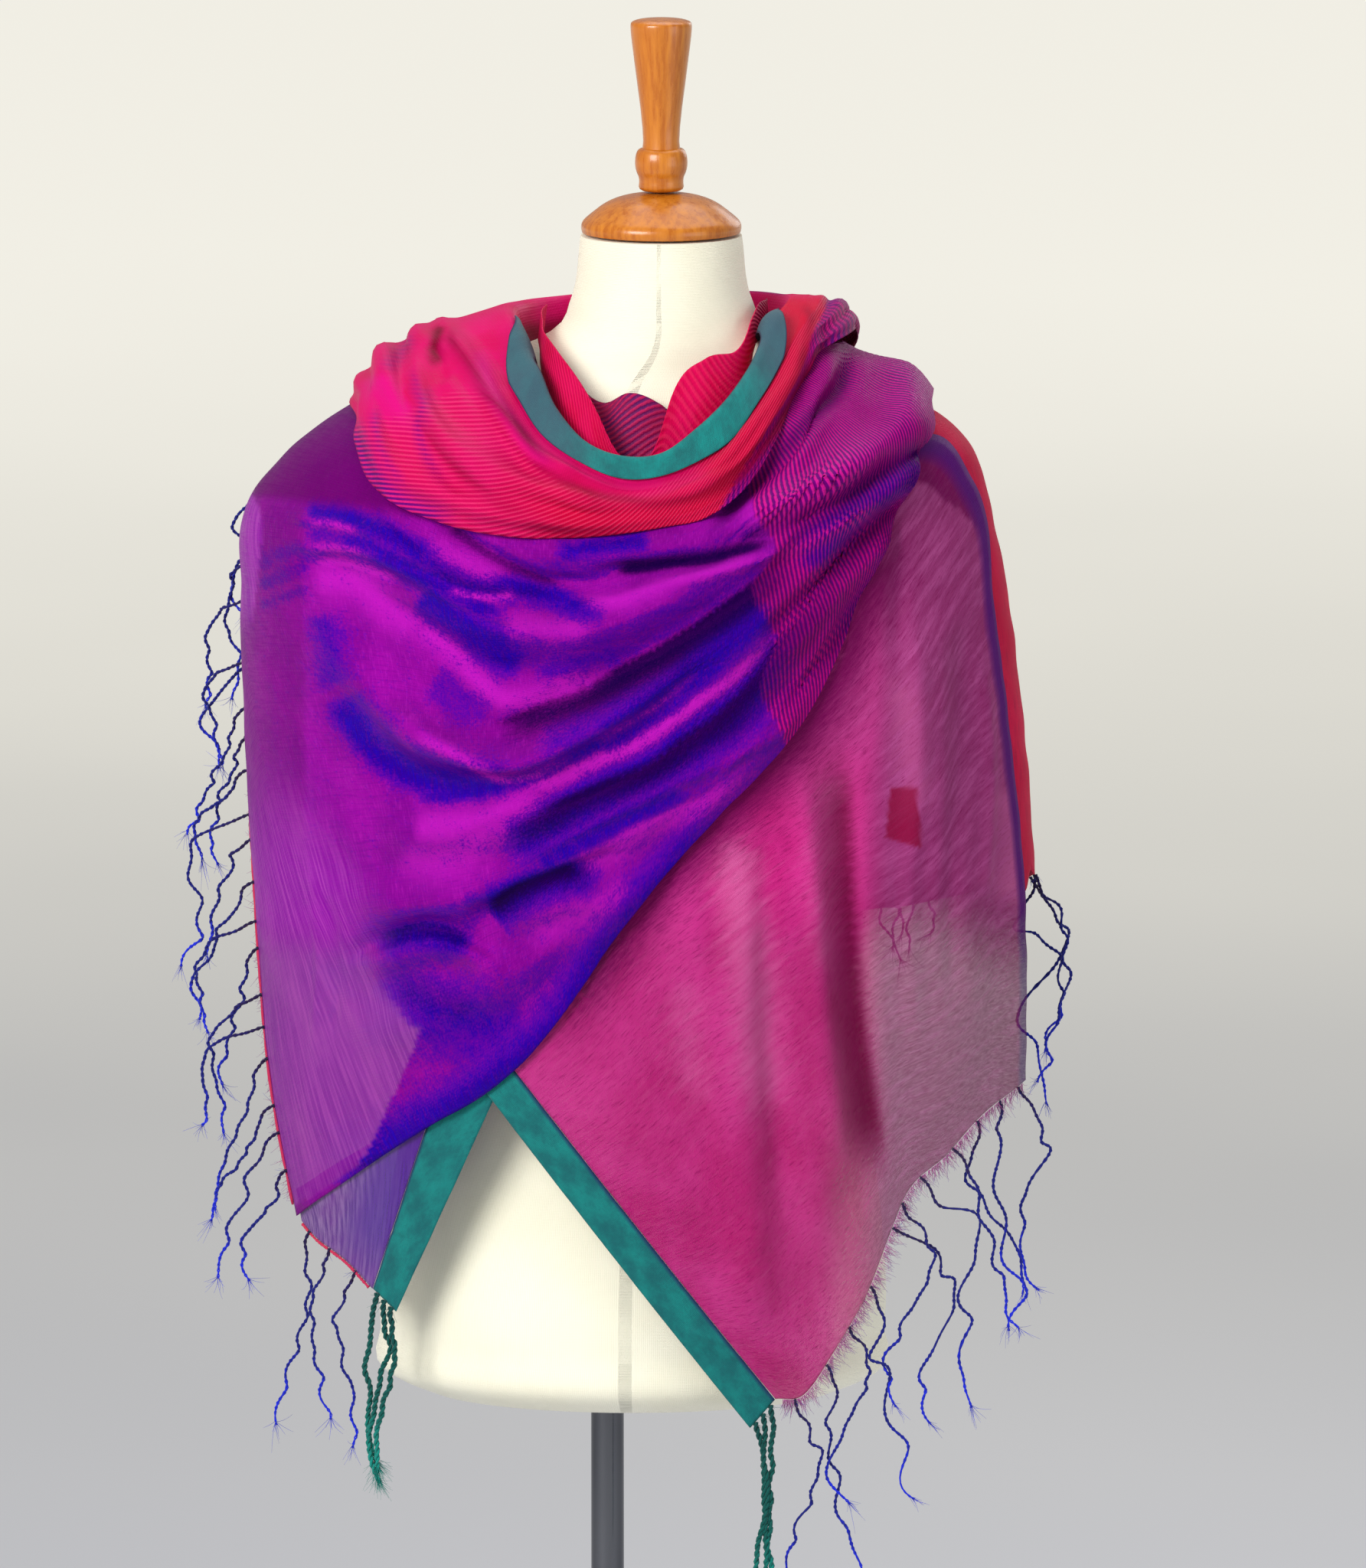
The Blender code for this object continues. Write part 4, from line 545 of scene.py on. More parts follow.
# Painted shade in the troughs of the folds
DARK_PAINTED_SHADE = (
    Shade(0.75, 8, 8, ((1105, 440), (1102, 497), (1064, 542), (1015, 600), (961, 655), (925, 690))),
    Shade(0.85, 6, 12, ((1225, 580), (1197, 594), (1139, 627), (1089, 661), (1035, 686), (985, 704),
                        (940, 722))),
    Shade(0.60, 8, 12, ((1190, 650), (1140, 692), (1080, 755), (1030, 803), (990, 850))),
    Shade(0.45, 8, 12, ((1165, 745), (1110, 815), (1060, 880), (1010, 940))),
    Shade(0.70, 2, 8, ((590, 690), (597, 694), (627, 716), (664, 738), (708, 757), (760, 768))),
    Shade(1.00, 11, 3, ((789, 749), (819, 748), (856, 745), (893, 738), (937, 730), (985, 718),
                        (1026, 700))),
    Shade(1.00, 4, 26, ((634, 953), (664, 942), (708, 921), (763, 899), (819, 873), (874, 842),
                        (930, 805), (978, 768), (1015, 735), (1052, 690))),
    Shade(0.90, 7, 22, ((641, 1105), (671, 1086), (726, 1053), (782, 1027), (856, 994), (930, 942),
                        (985, 886), (1022, 842), (1078, 783), (1137, 709))),
    Shade(0.70, 7, 18, ((645, 1186), (671, 1171), (708, 1149), (745, 1138), (793, 1119))),
    Shade(0.60, 6, 10, ((985, 749), (1015, 727), (1048, 694), (1085, 666), (1140, 638))),
    Shade(0.60, 3, 11, ((1015, 842), (1052, 798), (1096, 742), (1140, 690), (1167, 653))),
    Shade(0.35, 7, 7, ((634, 990), (664, 1008), (689, 1008), (726, 983))),
    Shade(0.60, 4, 15, ((478, 1232), (531, 1213), (580, 1213), (629, 1235))),
    Shade(0.90, 6, 17, ((629, 1196), (671, 1165), (713, 1144), (783, 1123))),
    Shade(0.35, 21, 21, ((503, 1295), (566, 1302), (629, 1323))),
    Shade(0.50, 5, 4, ((401, 1568), (453, 1531), (545, 1489), (643, 1426), (727, 1358), (783, 1281),
                       (860, 1184))),
    Shade(0.40, 8, 6, ((555, 740), (609, 765), (662, 774), (740, 778))),
)
# Painted highlights on the crests of the folds
PAINTED_HIGHLIGHTS = (
    Shade(0.80, 22, 18, ((1140, 410), (1185, 484), (1165, 560), (1098, 618), (1015, 668), (950, 698))),
    Shade(0.50, 8, 8, ((1160, 650), (1095, 694), (1030, 726), (970, 746))),
    Shade(0.90, 11, 11, ((545, 816), (560, 831), (604, 864), (645, 905), (682, 914), (745, 896),
                         (815, 868))),
    Shade(0.80, 8, 3, ((538, 964), (560, 971), (604, 994), (652, 1016), (682, 1018), (726, 1001),
                       (789, 964))),
    Shade(1.00, 3, 10, ((652, 1045), (708, 1023), (745, 1007), (819, 977), (874, 947), (930, 903),
                        (985, 859), (1015, 827))),
    Shade(0.60, 11, 15, ((652, 823), (689, 818), (726, 820), (789, 829))),
    Shade(0.70, 2, 10, ((745, 783), (800, 783), (874, 762), (948, 742), (1015, 725))),
    Shade(0.70, 13, 18, ((538, 1079), (560, 1079), (615, 1075), (671, 1056), (738, 1027))),
    Shade(0.70, 4, 18, ((738, 1138), (767, 1119), (819, 1093), (874, 1064), (930, 1038), (1004, 975))),
    Shade(0.60, 11, 15, ((560, 709), (582, 727), (619, 742), (671, 757))),
    Shade(0.80, 11, 18, ((401, 761), (430, 754), (473, 761), (519, 801), (573, 840))),
    Shade(0.60, 14, 18, ((517, 1112), (566, 1126), (629, 1091), (699, 1042))),
    Shade(0.50, 14, 21, ((671, 1232), (741, 1196), (783, 1182), (832, 1140))),
    Shade(0.50, 21, 21, ((390, 1175), (418, 1210), (432, 1267))),
)
# Thin painted highlights along the folds
PAINTED_HIGHLIGHT_LINES = (
    Shade(0.80, 2, 1, ((405, 686), (430, 684), (473, 697))),
    Shade(0.70, 2, 1, ((401, 719), (430, 717), (459, 719), (501, 733))),
    Shade(0.90, 2, 1, ((401, 742), (444, 735), (487, 747), (530, 760))),
    Shade(0.90, 2, 3, ((576, 767), (609, 776), (655, 781), (680, 775))),
    Shade(0.70, 1, 1, ((767, 977), (800, 960), (841, 936), (878, 909), (923, 868))),
)
# Painted shadow on the panel along the wrap's edge
PANEL_SHADOW = (
    Shade(0.80, 10, 34, ((666, 1411), (737, 1331), (809, 1214), (870, 1137), (947, 1055), (1024, 978),
                         (1080, 891), (1127, 778), (1157, 707), (1183, 627))),
)
# Painted highlights on the panel's soft folds
PANEL_PAINTED_HIGHLIGHTS = (
    Shade(0.62, 26, 24, ((966, 1076), (957, 1134), (977, 1248), (989, 1363), (1000, 1500))),
    Shade(0.42, 16, 22, ((1092, 985), (1082, 1076), (1081, 1191), (1085, 1290))),
    Shade(0.50, 26, 26, ((1330, 1010), (1340, 1100), (1322, 1200))),
    Shade(0.34, 22, 22, ((890, 1260), (900, 1360), (925, 1460))),
    Shade(0.30, 20, 20, ((1178, 860), (1190, 990), (1196, 1080))),
)
# Painted shade in the cowl's creases
COWL_SHADE = (
    Shade(1.00, 6, 6, ((575, 417), (572, 433), (568, 458), (575, 481))),
    Shade(0.75, 4, 5, ((583, 418), (590, 440), (604, 465), (622, 492), (641, 518), (669, 553), (700, 588),
                       (740, 625))),
    Shade(0.40, 5, 4, ((587, 419), (596, 447), (614, 472), (634, 504))),
    Shade(0.25, 6, 6, ((559, 540), (576, 583), (609, 622), (655, 661), (709, 683))),
    Shade(0.90, 5, 6, ((1081, 435), (1068, 464), (1052, 497), (1031, 538), (1006, 576), (965, 625),
                       (923, 671))),
    Shade(0.80, 5, 7, ((1118, 406), (1116, 443), (1102, 497), (1064, 542), (1015, 600), (952, 654))),
    Shade(0.60, 6, 6, ((1197, 592), (1139, 625), (1089, 659), (1035, 679))),
    Shade(0.40, 4, 4, ((683, 592), (724, 625), (774, 646), (849, 659), (915, 650))),
    Shade(0.45, 4, 3, ((662, 679), (745, 698), (849, 702), (899, 688))),
    Shade(0.50, 4, 4, ((1046, 389), (1060, 414), (1054, 451), (1039, 497))),
)
# Painted violet shade in the cowl's creases
COWL_PAINTED_VIOLET_SHADE = (
    Shade(0.60, 4, 5, ((534, 470), (541, 506), (553, 530), (548, 560), (560, 600), (590, 640))),
    Shade(0.95, 12, 14, ((457, 540), (466, 576), (487, 619), (519, 654), (559, 672), (609, 685))),
    Shade(0.50, 8, 8, ((541, 429), (523, 451), (512, 469), (501, 490))),
    Shade(0.40, 9, 8, ((548, 508), (555, 533), (548, 569))),
    Shade(0.60, 5, 6, ((491, 526), (494, 569), (512, 611), (537, 644))),
)
# Painted highlights on the cowl's crests
COWL_PAINTED_HIGHLIGHTS = (
    Shade(0.80, 22, 18, ((1140, 410), (1185, 484), (1165, 560), (1098, 618), (1015, 668), (950, 698))),
    Shade(0.50, 8, 8, ((1160, 650), (1095, 694), (1030, 726), (970, 746))),
    Shade(0.80, 14, 18, ((494, 483), (501, 511), (523, 533), (537, 526))),
    Shade(0.80, 5, 9, ((625, 444), (635, 490), (659, 533), (694, 583), (740, 622))),
)


def read(rows, at):
    """Columns of a table, after its first one, where the first one has the values `at`, joined smoothly."""
    table = numpy.array(rows, dtype=float)
    keys = table[:, 0]
    values = table[:, 1:]
    steps = numpy.diff(keys)
    slopes = numpy.diff(values, axis=0) / steps[:, None]
    before = steps[:-1, None]
    after = steps[1:, None]
    inner = (slopes[:-1] * after + slopes[1:] * before) / (before + after)
    tangents = numpy.vstack([slopes[:1], inner, slopes[-1:]])
    at = numpy.clip(at, keys[0], keys[-1])
    cell = numpy.clip(numpy.searchsorted(keys, at, side="right") - 1, 0, len(keys) - 2)
    step = steps[cell][..., None]
    part = (at - keys[cell])[..., None] / step
    start = values[cell] * (2 * part ** 3 - 3 * part ** 2 + 1)
    end = values[cell + 1] * (3 * part ** 2 - 2 * part ** 3)
    leave = tangents[cell] * step * (part ** 3 - 2 * part ** 2 + part)
    arrive = tangents[cell + 1] * step * (part ** 3 - part ** 2)
    return numpy.moveaxis(start + end + leave + arrive, -1, 0)


def mix(start, end, part):
    return start + (end - start) * part


def ease(value):
    value = numpy.clip(value, 0.0, 1.0)
    return value * value * (3.0 - 2.0 * value)


def rise(value, start, width):
    """0 up to the start, then softly up to 1 over this width."""
    return ease((value - start) / width)


def fall(value, end, width):
    """1, then softly down to 0 over this width, up to the end."""
    return ease((end - value) / width)


def stack(x, y, z):
    return numpy.stack(numpy.broadcast_arrays(x, y, z), axis=-1)


def unit(vectors):
    """The vectors, each with length 1."""
    return vectors / numpy.maximum(numpy.linalg.norm(vectors, axis=-1, keepdims=True), 1e-12)


# Surfaces of the cloths: each takes u, which runs to the right, and v, which runs down

def on_ring(rings, turn, height, lift):
    """Points on the rings at a turn from the front, in radians, moved out by lift."""
    left, right, front, back = read(rings, height)
    depth = numpy.where(numpy.cos(turn) > 0.0, front, back)
    x = (left + right) / 2 + ((right - left) / 2 + lift) * numpy.sin(turn)
    y = -(depth + lift) * numpy.cos(turn)
    return stack(x, y, height)


def turn_at(x, height, lift, behind=0.0):
    """The turn at which the drape has this x on its front half, and then further round the side."""
    left, right, front, back = read(DRAPE, height)
    share = (x - (left + right) / 2) / ((right - left) / 2 + lift)
    turn = numpy.arcsin(numpy.clip(share, -1.0, 1.0))
    return turn + numpy.sign(turn) * numpy.radians(behind)


def on_drape(x, height, lift, behind=0.0):
    return on_ring(DRAPE, turn_at(x, height, lift, behind), height, lift)


def around_neck(turn, reach, height):
    """Points at a turn around the neck, in radians, and a distance from its axis."""
    return stack(NECK_X + reach * numpy.sin(turn), -reach * numpy.cos(turn), height)


def outward(surface, u, v):
    """Unit normals of a surface, seen from outside."""
    step = 0.004
    along = surface(u + step, v) - surface(u - step, v)
    down = surface(u, v + step) - surface(u, v - step)
    return unit(numpy.cross(down, along))


def curve(path, steps):
    """A smooth curve through the path's points, as (share of its points, positions)."""
    knots = [(index,) + tuple(place) for index, place in enumerate(path)]
    spot = numpy.linspace(0.0, len(path) - 1.0, steps)
    return spot / (len(path) - 1.0), numpy.stack(read(knots, spot), axis=-1)


def relief(ridges, points):
    """How far the ridges raise the cloth at these points, by their distance seen from the front."""
    total = numpy.zeros(points.shape[:-1])
    for ridge in ridges:
        share, line = curve(ridge.path, 12 * len(ridge.path))
        ends = ease(4.0 * numpy.minimum(share, 1.0 - share))
        squared = (points[..., 0, None] - line[:, 0]) ** 2 + (points[..., 2, None] - line[:, 1]) ** 2
        total += ridge.height * numpy.max(ends * numpy.exp(-squared / ridge.width ** 2), axis=-1)
    return total


def folded(base, ridges):
    """The base surface with its ridges raised outwards."""
    def surface(u, v):
        points = base(u, v)
        return points + outward(base, u, v) * relief(ridges, points)[..., None]
    return surface


def wrap_base(u, v):
    along = u * WRAP[-1].along
    top_x, top_height, top_lift, top_behind, low_x, low_height, low_lift, low_behind = read(WRAP, along)
    top_turn = turn_at(top_x, top_height, top_lift, top_behind)
    low_turn = turn_at(low_x, low_height, low_lift, low_behind)
    bulge = SHOULDER_BULGE * rise(along, 0.80, 0.2) * fall(along, WRAP[-1].along, 0.1)
    lift = mix(top_lift, low_lift, v) + 4.0 * v * (1.0 - v) * bulge
    return on_ring(DRAPE, mix(top_turn, low_turn, v), mix(top_height, low_height, v), lift)


def under_base(u, v):
    top_x, top_height, low_x, low_height = read(UNDER, u)
    return on_drape(mix(top_x, low_x, v), mix(top_height, low_height, v), UNDER_LIFT)


def panel_base(u, v):
    """A patch between four lines, blended in the front view and laid on the rings."""
    top_x, top_height, low_x, low_height = read(PANEL, u)
    fold_x, fold_height = read(PANEL_FOLD, v)
    start = PANEL[0]
    end = PANEL[-1]
    left_x = mix(start.top_x, start.low_x, v)
    left_height = mix(start.top_height, start.low_height, v)
    corner_x = mix(mix(start.top_x, end.top_x, u), mix(start.low_x, end.low_x, u), v)
    corner_height = mix(mix(start.top_height, end.top_height, u), mix(start.low_height, end.low_height, u), v)
    x = mix(top_x, low_x, v) + mix(left_x, fold_x, u) - corner_x
    height = mix(top_height, low_height, v) + mix(left_height, fold_height, u) - corner_height
    return on_drape(x, height, PANEL_LIFT + PANEL_TOP_LIFT * rise(height, 1.18, 0.09))


def strip(inner_top, inner_low, outer_top, outer_low, lift):
    """A strip on the rings between two straight lines, its u across and its v along."""
    def surface(u, v):
        x = mix(mix(inner_top[0], inner_low[0], v), mix(outer_top[0], outer_low[0], v), u)
        height = mix(mix(inner_top[1], inner_low[1], v), mix(outer_top[1], outer_low[1], v), u)
        return on_drape(x, height, lift)
    return surface


LEFT_STRIP = strip((UNDER[-1].top_x + STRIP_GAP, UNDER[-1].top_height),
                   (UNDER[-1].low_x + STRIP_GAP, UNDER[-1].low_height),
                   UNDER_TUCK_OUT, UNDER_CORNER_OUT, UNDER_LIFT)
RIGHT_STRIP = strip(PANEL_TUCK_OUT, PANEL_CORNER_OUT,
                    (PANEL[0].top_x - SEAM, PANEL[0].top_height - SEAM),
                    (PANEL[0].low_x - SEAM, PANEL[0].low_height - SEAM), PANEL_LIFT)
FLAP = strip(FLAP_TOP[0], FLAP_LOW[0], FLAP_TOP[1], FLAP_LOW[1], PANEL_LIFT - WALL - FLAP_GAP)


def back_base(u, v):
    turn = mix(BACK[0].turn, BACK[-1].turn, u)
    top, low = read(BACK, turn)
    height = mix(top, low, v)
    part = numpy.clip((turn - BACK_FOLD_START) / (BACK_FOLD_END - BACK_FOLD_START), 0.0, 1.0)
    hang = fall(height, 1.30, 0.15) * ease(4.0 * numpy.minimum(part, 1.0 - part))
    ripple = 0.5 - 0.5 * numpy.cos(2.0 * math.pi * BACK_FOLDS * part)
    return on_ring(DRAPE, numpy.radians(turn), height, BACK_FOLD_HEIGHT * hang * ripple)


def cowl_section(turn, level):
    """The cowl at a turn in degrees: level 0 is the hem, 1 the border's start, 2 the rim, 3 the inner end."""
    turn, level = numpy.broadcast_arrays(turn, level)
    columns = read(COWL, turn)
    hem_x, hem_height, hem_lift, hem_behind = columns[:4]
    band_reach, band_height, rim_reach, rim_height, bulge = columns[4:]
    hem = on_drape(hem_x, hem_height, hem_lift, hem_behind)
    angle = numpy.radians(turn)
    band = around_neck(angle, band_reach, band_height)
    rim = around_neck(angle, rim_reach, rim_height)
    tail = around_neck(angle, rim_reach + COWL_TAIL[0], rim_height + COWL_TAIL[1])
    out = stack(numpy.sin(angle), -numpy.cos(angle), 0.6)
    tall = numpy.linalg.norm(band - hem, axis=-1, keepdims=True)
    part = numpy.clip(level, 0.0, 1.0)[..., None]
    lower = mix(hem, band, part) + 4.0 * part * (1.0 - part) * bulge[..., None] * tall * out
    middle = mix(band, rim, numpy.clip(level - 1.0, 0.0, 1.0)[..., None])
    inner = mix(rim, tail, numpy.clip(level - 2.0, 0.0, 1.0)[..., None])
    level = level[..., None]
    part = numpy.clip((level - 2.0 + RIM_ROUND) / (2.0 * RIM_ROUND), 0.0, 1.0)
    before = mix(rim, band, RIM_ROUND)
    after = mix(rim, tail, RIM_ROUND)
    over = mix(mix(before, rim, part), mix(rim, after, part), part)
    sides = numpy.where(level <= 2.0, middle, inner)
    upper = numpy.where(numpy.abs(level - 2.0) < RIM_ROUND, over, sides)
    return numpy.where(level <= 1.0, lower, upper)


def cowl_level(turn, v):
    """The level along the cowl, with a row on its rim: in front it ends just inside, elsewhere deeper."""
    part = (numpy.abs(turn) - COWL_OPEN_TURN) / (COWL_CLOSED_TURN - COWL_OPEN_TURN)
    tail = mix(0.5, 1.0, numpy.clip(part, 0.0, 1.0))
    row = (1.0 - v) * COWL_ROWS
    return numpy.where(row < COWL_RIM_ROW, 2.0 * row / COWL_RIM_ROW,
                       2.0 + tail * (row - COWL_RIM_ROW) / (COWL_ROWS - COWL_RIM_ROW))


def cowl_whole(u, v):
    return cowl_section(mix(-180.0, 180.0, u), 3.0 * (1.0 - v))


def cowl_base(u, v):
    turn = mix(-180.0, 180.0, u)
    return cowl_section(turn, cowl_level(turn, v))


def cowl_outer(u, v):
    """The cowl with its concentric folds."""
    degrees = mix(-180.0, 180.0, u)
    level = cowl_level(degrees, v)
    turn = numpy.radians(degrees)
    total = 0.0
    for fold in COWL_FOLDS:
        sideways = mix(fold.left, fold.right, 0.5 + 0.5 * numpy.sin(turn))
        facing = mix(fold.back, fold.front, 0.5 + 0.5 * numpy.cos(turn))
        centre = mix(facing, sideways, numpy.sin(turn) ** 2)
        total = total + fold.height * numpy.exp(-((level - centre) / fold.width) ** 2)
    tall = numpy.linalg.norm(cowl_section(degrees, 1.0) - cowl_section(degrees, 0.0), axis=-1)
    room = numpy.clip((tall - COWL_FOLD_ROOM[0]) / (COWL_FOLD_ROOM[1] - COWL_FOLD_ROOM[0]), 0.0, 1.0)
    return cowl_base(u, v) + outward(cowl_base, u, v) * (total * room * ease(level / 0.15))[..., None]


def cowl_border(u, v):
    """The border laid on the cowl, sinking over its rim at both ends."""
    turn = mix(-BORDER_TURN, BORDER_TURN, u)
    sink = rise(numpy.abs(turn), BORDER_SINKS, BORDER_TURN - BORDER_SINKS)
    level = numpy.minimum(2.0 - v + sink, 2.9)
    around = 0.5 + turn / 360.0
    down = 1.0 - level / 3.0
    lift = 2.0 * SEAM + WALL + BORDER_SINK_LIFT * 4.0 * sink * (1.0 - sink)
    return cowl_whole(around, down) + outward(cowl_whole, around, down) * lift[..., None]


def layer(rows):
    """A band around the neck from its upper line down behind the border, deeper at both ends."""
    def surface(u, v):
        turn = mix(rows[0].turn, rows[-1].turn, u)
        top_reach, top_height, low_reach, low_height = read(rows, turn)
        down = v * (INNER_REACH + 0.5 * rise(numpy.abs(2.0 * u - 1.0), 0.5, 0.2))
        return around_neck(numpy.radians(turn), mix(top_reach, low_reach, down),
                           mix(top_height, low_height, down))
    return surface


# Creases and shades, by places in the front view

def seen(points):
    """Points as the front view shows them: across, and up the picture."""
    up = points[..., 2] * math.cos(SEEN_TILT) + points[..., 1] * math.sin(SEEN_TILT)
    return numpy.stack((points[..., 0], up), axis=-1)


def near_curve(places, path):
    """How far the places lie below the curve or to its right, and their share along it."""
    share, line = curve(path, 60)
    tangent = unit(numpy.gradient(line, axis=0))
    flat = places.reshape(-1, 1, 2) - line
    squared = (flat ** 2).sum(axis=-1)
    nearest = squared.argmin(axis=-1)
    index = numpy.arange(len(nearest))
    gap = flat[index, nearest]
    away = tangent[nearest]
    cross = away[:, 0] * gap[:, 1] - away[:, 1] * gap[:, 0]
    distance = numpy.sqrt(squared[index, nearest])
    shape = places.shape[:-1]
    return numpy.where(cross < 0.0, distance, -distance).reshape(shape), share[nearest].reshape(shape)


def past(places, path, width):
    """0 above a curve or to its left, and 1 on its other side, with a soft edge of this width."""
    distance, _ = near_curve(places, path)
    return ease(0.5 + distance / width)


def fade_from(places, path, above, below):
    """1 on a curve, falling softly to 0 at both sides and at both ends."""
    line = numpy.array(path)
    reach = 4.0 * max(above, below)
    inside = ((places > line.min(axis=0) - reach) & (places < line.max(axis=0) + reach)).all(axis=-1)
    total = numpy.zeros(places.shape[:-1])
    if inside.any():
        distance, share = near_curve(places[inside], path)
        width = numpy.where(distance > 0.0, below, above)
        fade = ease(5.0 * share) * ease(5.0 * (1.0 - share))
        total[inside] = fade * numpy.exp(-(distance / width) ** 2)
    return total


def wavy(places, size, seed):
    """Smooth irregular waves of about this size, from a few sines."""
    draw = numpy.random.default_rng(seed)
    total = numpy.zeros(places.shape[:-1])
    count = 7
    for _ in range(count):
        turn = draw.uniform(0.0, 2.0 * math.pi)
        rate = 2.0 * math.pi / (size * draw.uniform(0.7, 1.8))
        shift = draw.uniform(0.0, 2.0 * math.pi)
        total += numpy.sin(rate * (places[..., 0] * math.cos(turn) + places[..., 1] * math.sin(turn)) + shift)
    return total / count


def shading(shades, places, spread=SHADE_SPREAD):
    """The strongest of the shades at these places."""
    total = numpy.zeros(places.shape[:-1])
    wander = numpy.stack((wavy(places, 0.045, 41), wavy(places, 0.038, 42)), axis=-1)
    places = places + SHADE_WANDER * wander
    for shade in shades:
        above = max(spread * shade.above / PIXELS, NARROWEST_SHADE)
        below = max(spread * shade.below / PIXELS, NARROWEST_SHADE)
        total = numpy.maximum(total, shade.strength * fade_from(places, photo(*shade.path), above, below))
    return total


def cowl_ribs(places):
    """How many ribs lie below each place, as the ribs climb more steeply towards the middle."""
    across = numpy.linspace(COWL_RIBS[0].across, COWL_RIBS[-1].across, 240)
    slope = read(COWL_RIBS, across)[0]
    climb = numpy.concatenate(([0.0], numpy.cumsum(0.5 * (slope[1:] + slope[:-1]) * numpy.diff(across))))
    height = places[..., 1] - numpy.interp(places[..., 0], across, climb) + 0.0007 * wavy(places, 0.03, 51)
    return height / COWL_RIB_PERIOD


def grid_normals(points, closed=False):
    """Unit normals of a grid of points, facing out."""
    if closed:
        along = numpy.roll(points, -1, axis=1) - numpy.roll(points, 1, axis=1)
    else:
        along = numpy.gradient(points, axis=1)
    return unit(numpy.cross(numpy.gradient(points, axis=0), along))


def creased(surface, creases, ripple, seed, closed=False):
    """A surface, worked out on a grid, with its creases and a slight irregular ripple."""
    def finer(u, v):
        points = surface(u, v)
        places = seen(points)
        lift = ripple * wavy(places, 0.035, seed)
        for crease in creases:
            lift += crease.height * fade_from(places, crease.path, crease.above, crease.below)
        return points + grid_normals(points, closed) * lift[..., None]
    return finer


# Meshes

def new_mesh(name, points, faces, sharp=None):
    """A smooth mesh, with sharp edges where its faces meet at more than this many degrees."""
    made = bpy.data.meshes.new(name)
    made.from_pydata(points, [], faces)
    made.shade_smooth()
    if sharp:
        made.set_sharp_from_angle(angle=math.radians(sharp))
    return made


def store(mesh, name, values):
    """Stores a named value at each point of a mesh."""
    field = mesh.attributes.new(name, "FLOAT", "POINT")
    field.data.foreach_set("value", numpy.asarray(values, dtype=numpy.float32))


def add_uv(mesh, flat, whole=None):
    """Gives each face its corners' flat places. A closed cloth's last faces run on to its whole length."""
    index = numpy.empty(len(mesh.loops), dtype=numpy.int32)
    mesh.loops.foreach_get("vertex_index", index)
    corners = flat[index]
    if whole:
        across = corners[:, 0].reshape(-1, 4)
        torn = numpy.ptp(across, axis=1, keepdims=True) > whole / 2
        corners[:, 0] = numpy.where(torn & (across < whole / 2), across + whole, across).ravel()
    mesh.uv_layers.new(name="cloth").data.foreach_set("uv", corners.astype(numpy.float32).ravel())


def lengths_along(points, axis):
    """The mean length of cloth along a grid's axis, added up from its start."""
    steps = numpy.linalg.norm(numpy.diff(points, axis=axis), axis=-1)
    return numpy.concatenate(([0.0], numpy.cumsum(steps.mean(axis=1 - axis))))


def shell_faces(high, wide, closed):
    """The faces of a shell between two grids of points, the outer grid's points before the inner one's."""
    count = high * wide
    cells = wide if closed else wide - 1
    top, column = numpy.meshgrid(numpy.arange(high - 1) * wide, numpy.arange(cells), indexing="ij")
    low = top + wide
    after = (column + 1) % wide
    outer = numpy.stack((top + column, low + column, low + after, top + after), axis=-1).reshape(-1, 4)

    def wall(first, second):
        return numpy.stack((first, second, second + count, first + count), axis=-1)

    edge = numpy.arange(cells)
    beyond = (edge + 1) % wide
    foot = (high - 1) * wide
    faces = [outer, outer[:, ::-1] + count, wall(edge, beyond), wall(foot + beyond, foot + edge)]
    if not closed:
        side = numpy.arange(high - 1) * wide
        end = side + wide - 1
        faces += [wall(side + wide, side), wall(end, end + wide)]
    return numpy.concatenate(faces)


class Cloth:
    """A thin closed shell on a surface, with its cloth's own lengths as UV and named values at its points."""

    def __init__(self, name, surface, columns, rows, closed=False, crowd=1.0):
        levels = numpy.linspace(0.0, 1.0, rows + 1) ** crowd
        self.u, self.v = numpy.meshgrid(numpy.linspace(0.0, 1.0, columns + 1), levels)
        if closed:
            self.u = self.u[:, :-1]
            self.v = self.v[:, :-1]
        outer = surface(self.u, self.v)
        self.name = name
        self.places = seen(outer)
        self.normals = grid_normals(outer, closed)
        points = numpy.concatenate((outer, outer - self.normals * THIN)).reshape(-1, 3)
        faces = shell_faces(*self.u.shape, closed)
        self.mesh = new_mesh(name, points.tolist(), faces.tolist())
        across = lengths_along(outer, 1)
        down = lengths_along(outer, 0)
        flat = numpy.stack(numpy.broadcast_arrays(across[None, :], -down[:, None]), axis=-1).reshape(-1, 2)
        add_uv(self.mesh, numpy.concatenate((flat, flat)), across[-1] + across[1] if closed else None)
        self.size = (float(across[-1]), float(down[-1]))

    def value(self, name, values):
        """Stores a named value at each point, on both sides of the shell."""
        values = numpy.broadcast_to(values, self.u.shape).ravel()
        store(self.mesh, name, numpy.concatenate((values, values)))


def place(name, mesh, material, slot=None):
    """Adds a mesh as a piece on the one body. With a colour slot it stands for the solid of its name."""
    piece = bpy.data.objects.new("shown_" + name, mesh)
    mesh.materials.append(material)
    bpy.context.scene.collection.objects.link(piece)
    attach(piece, "root")
    if slot:
        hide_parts(name)
    return piece


def tube_faces(base, count, sides):
    """The faces of a closed tube of rings, the first of its points having this index."""
    faces = []
    for low in range(base, base + (count - 1) * sides, sides):
        for side in range(sides):
            after = (side + 1) % sides
            faces.append((low + side, low + after, low + sides + after, low + sides + side))
    last = base + (count - 1) * sides
    faces.append(tuple(range(base + sides - 1, base - 1, -1)))
    faces.append(tuple(range(last, last + sides)))
    return faces


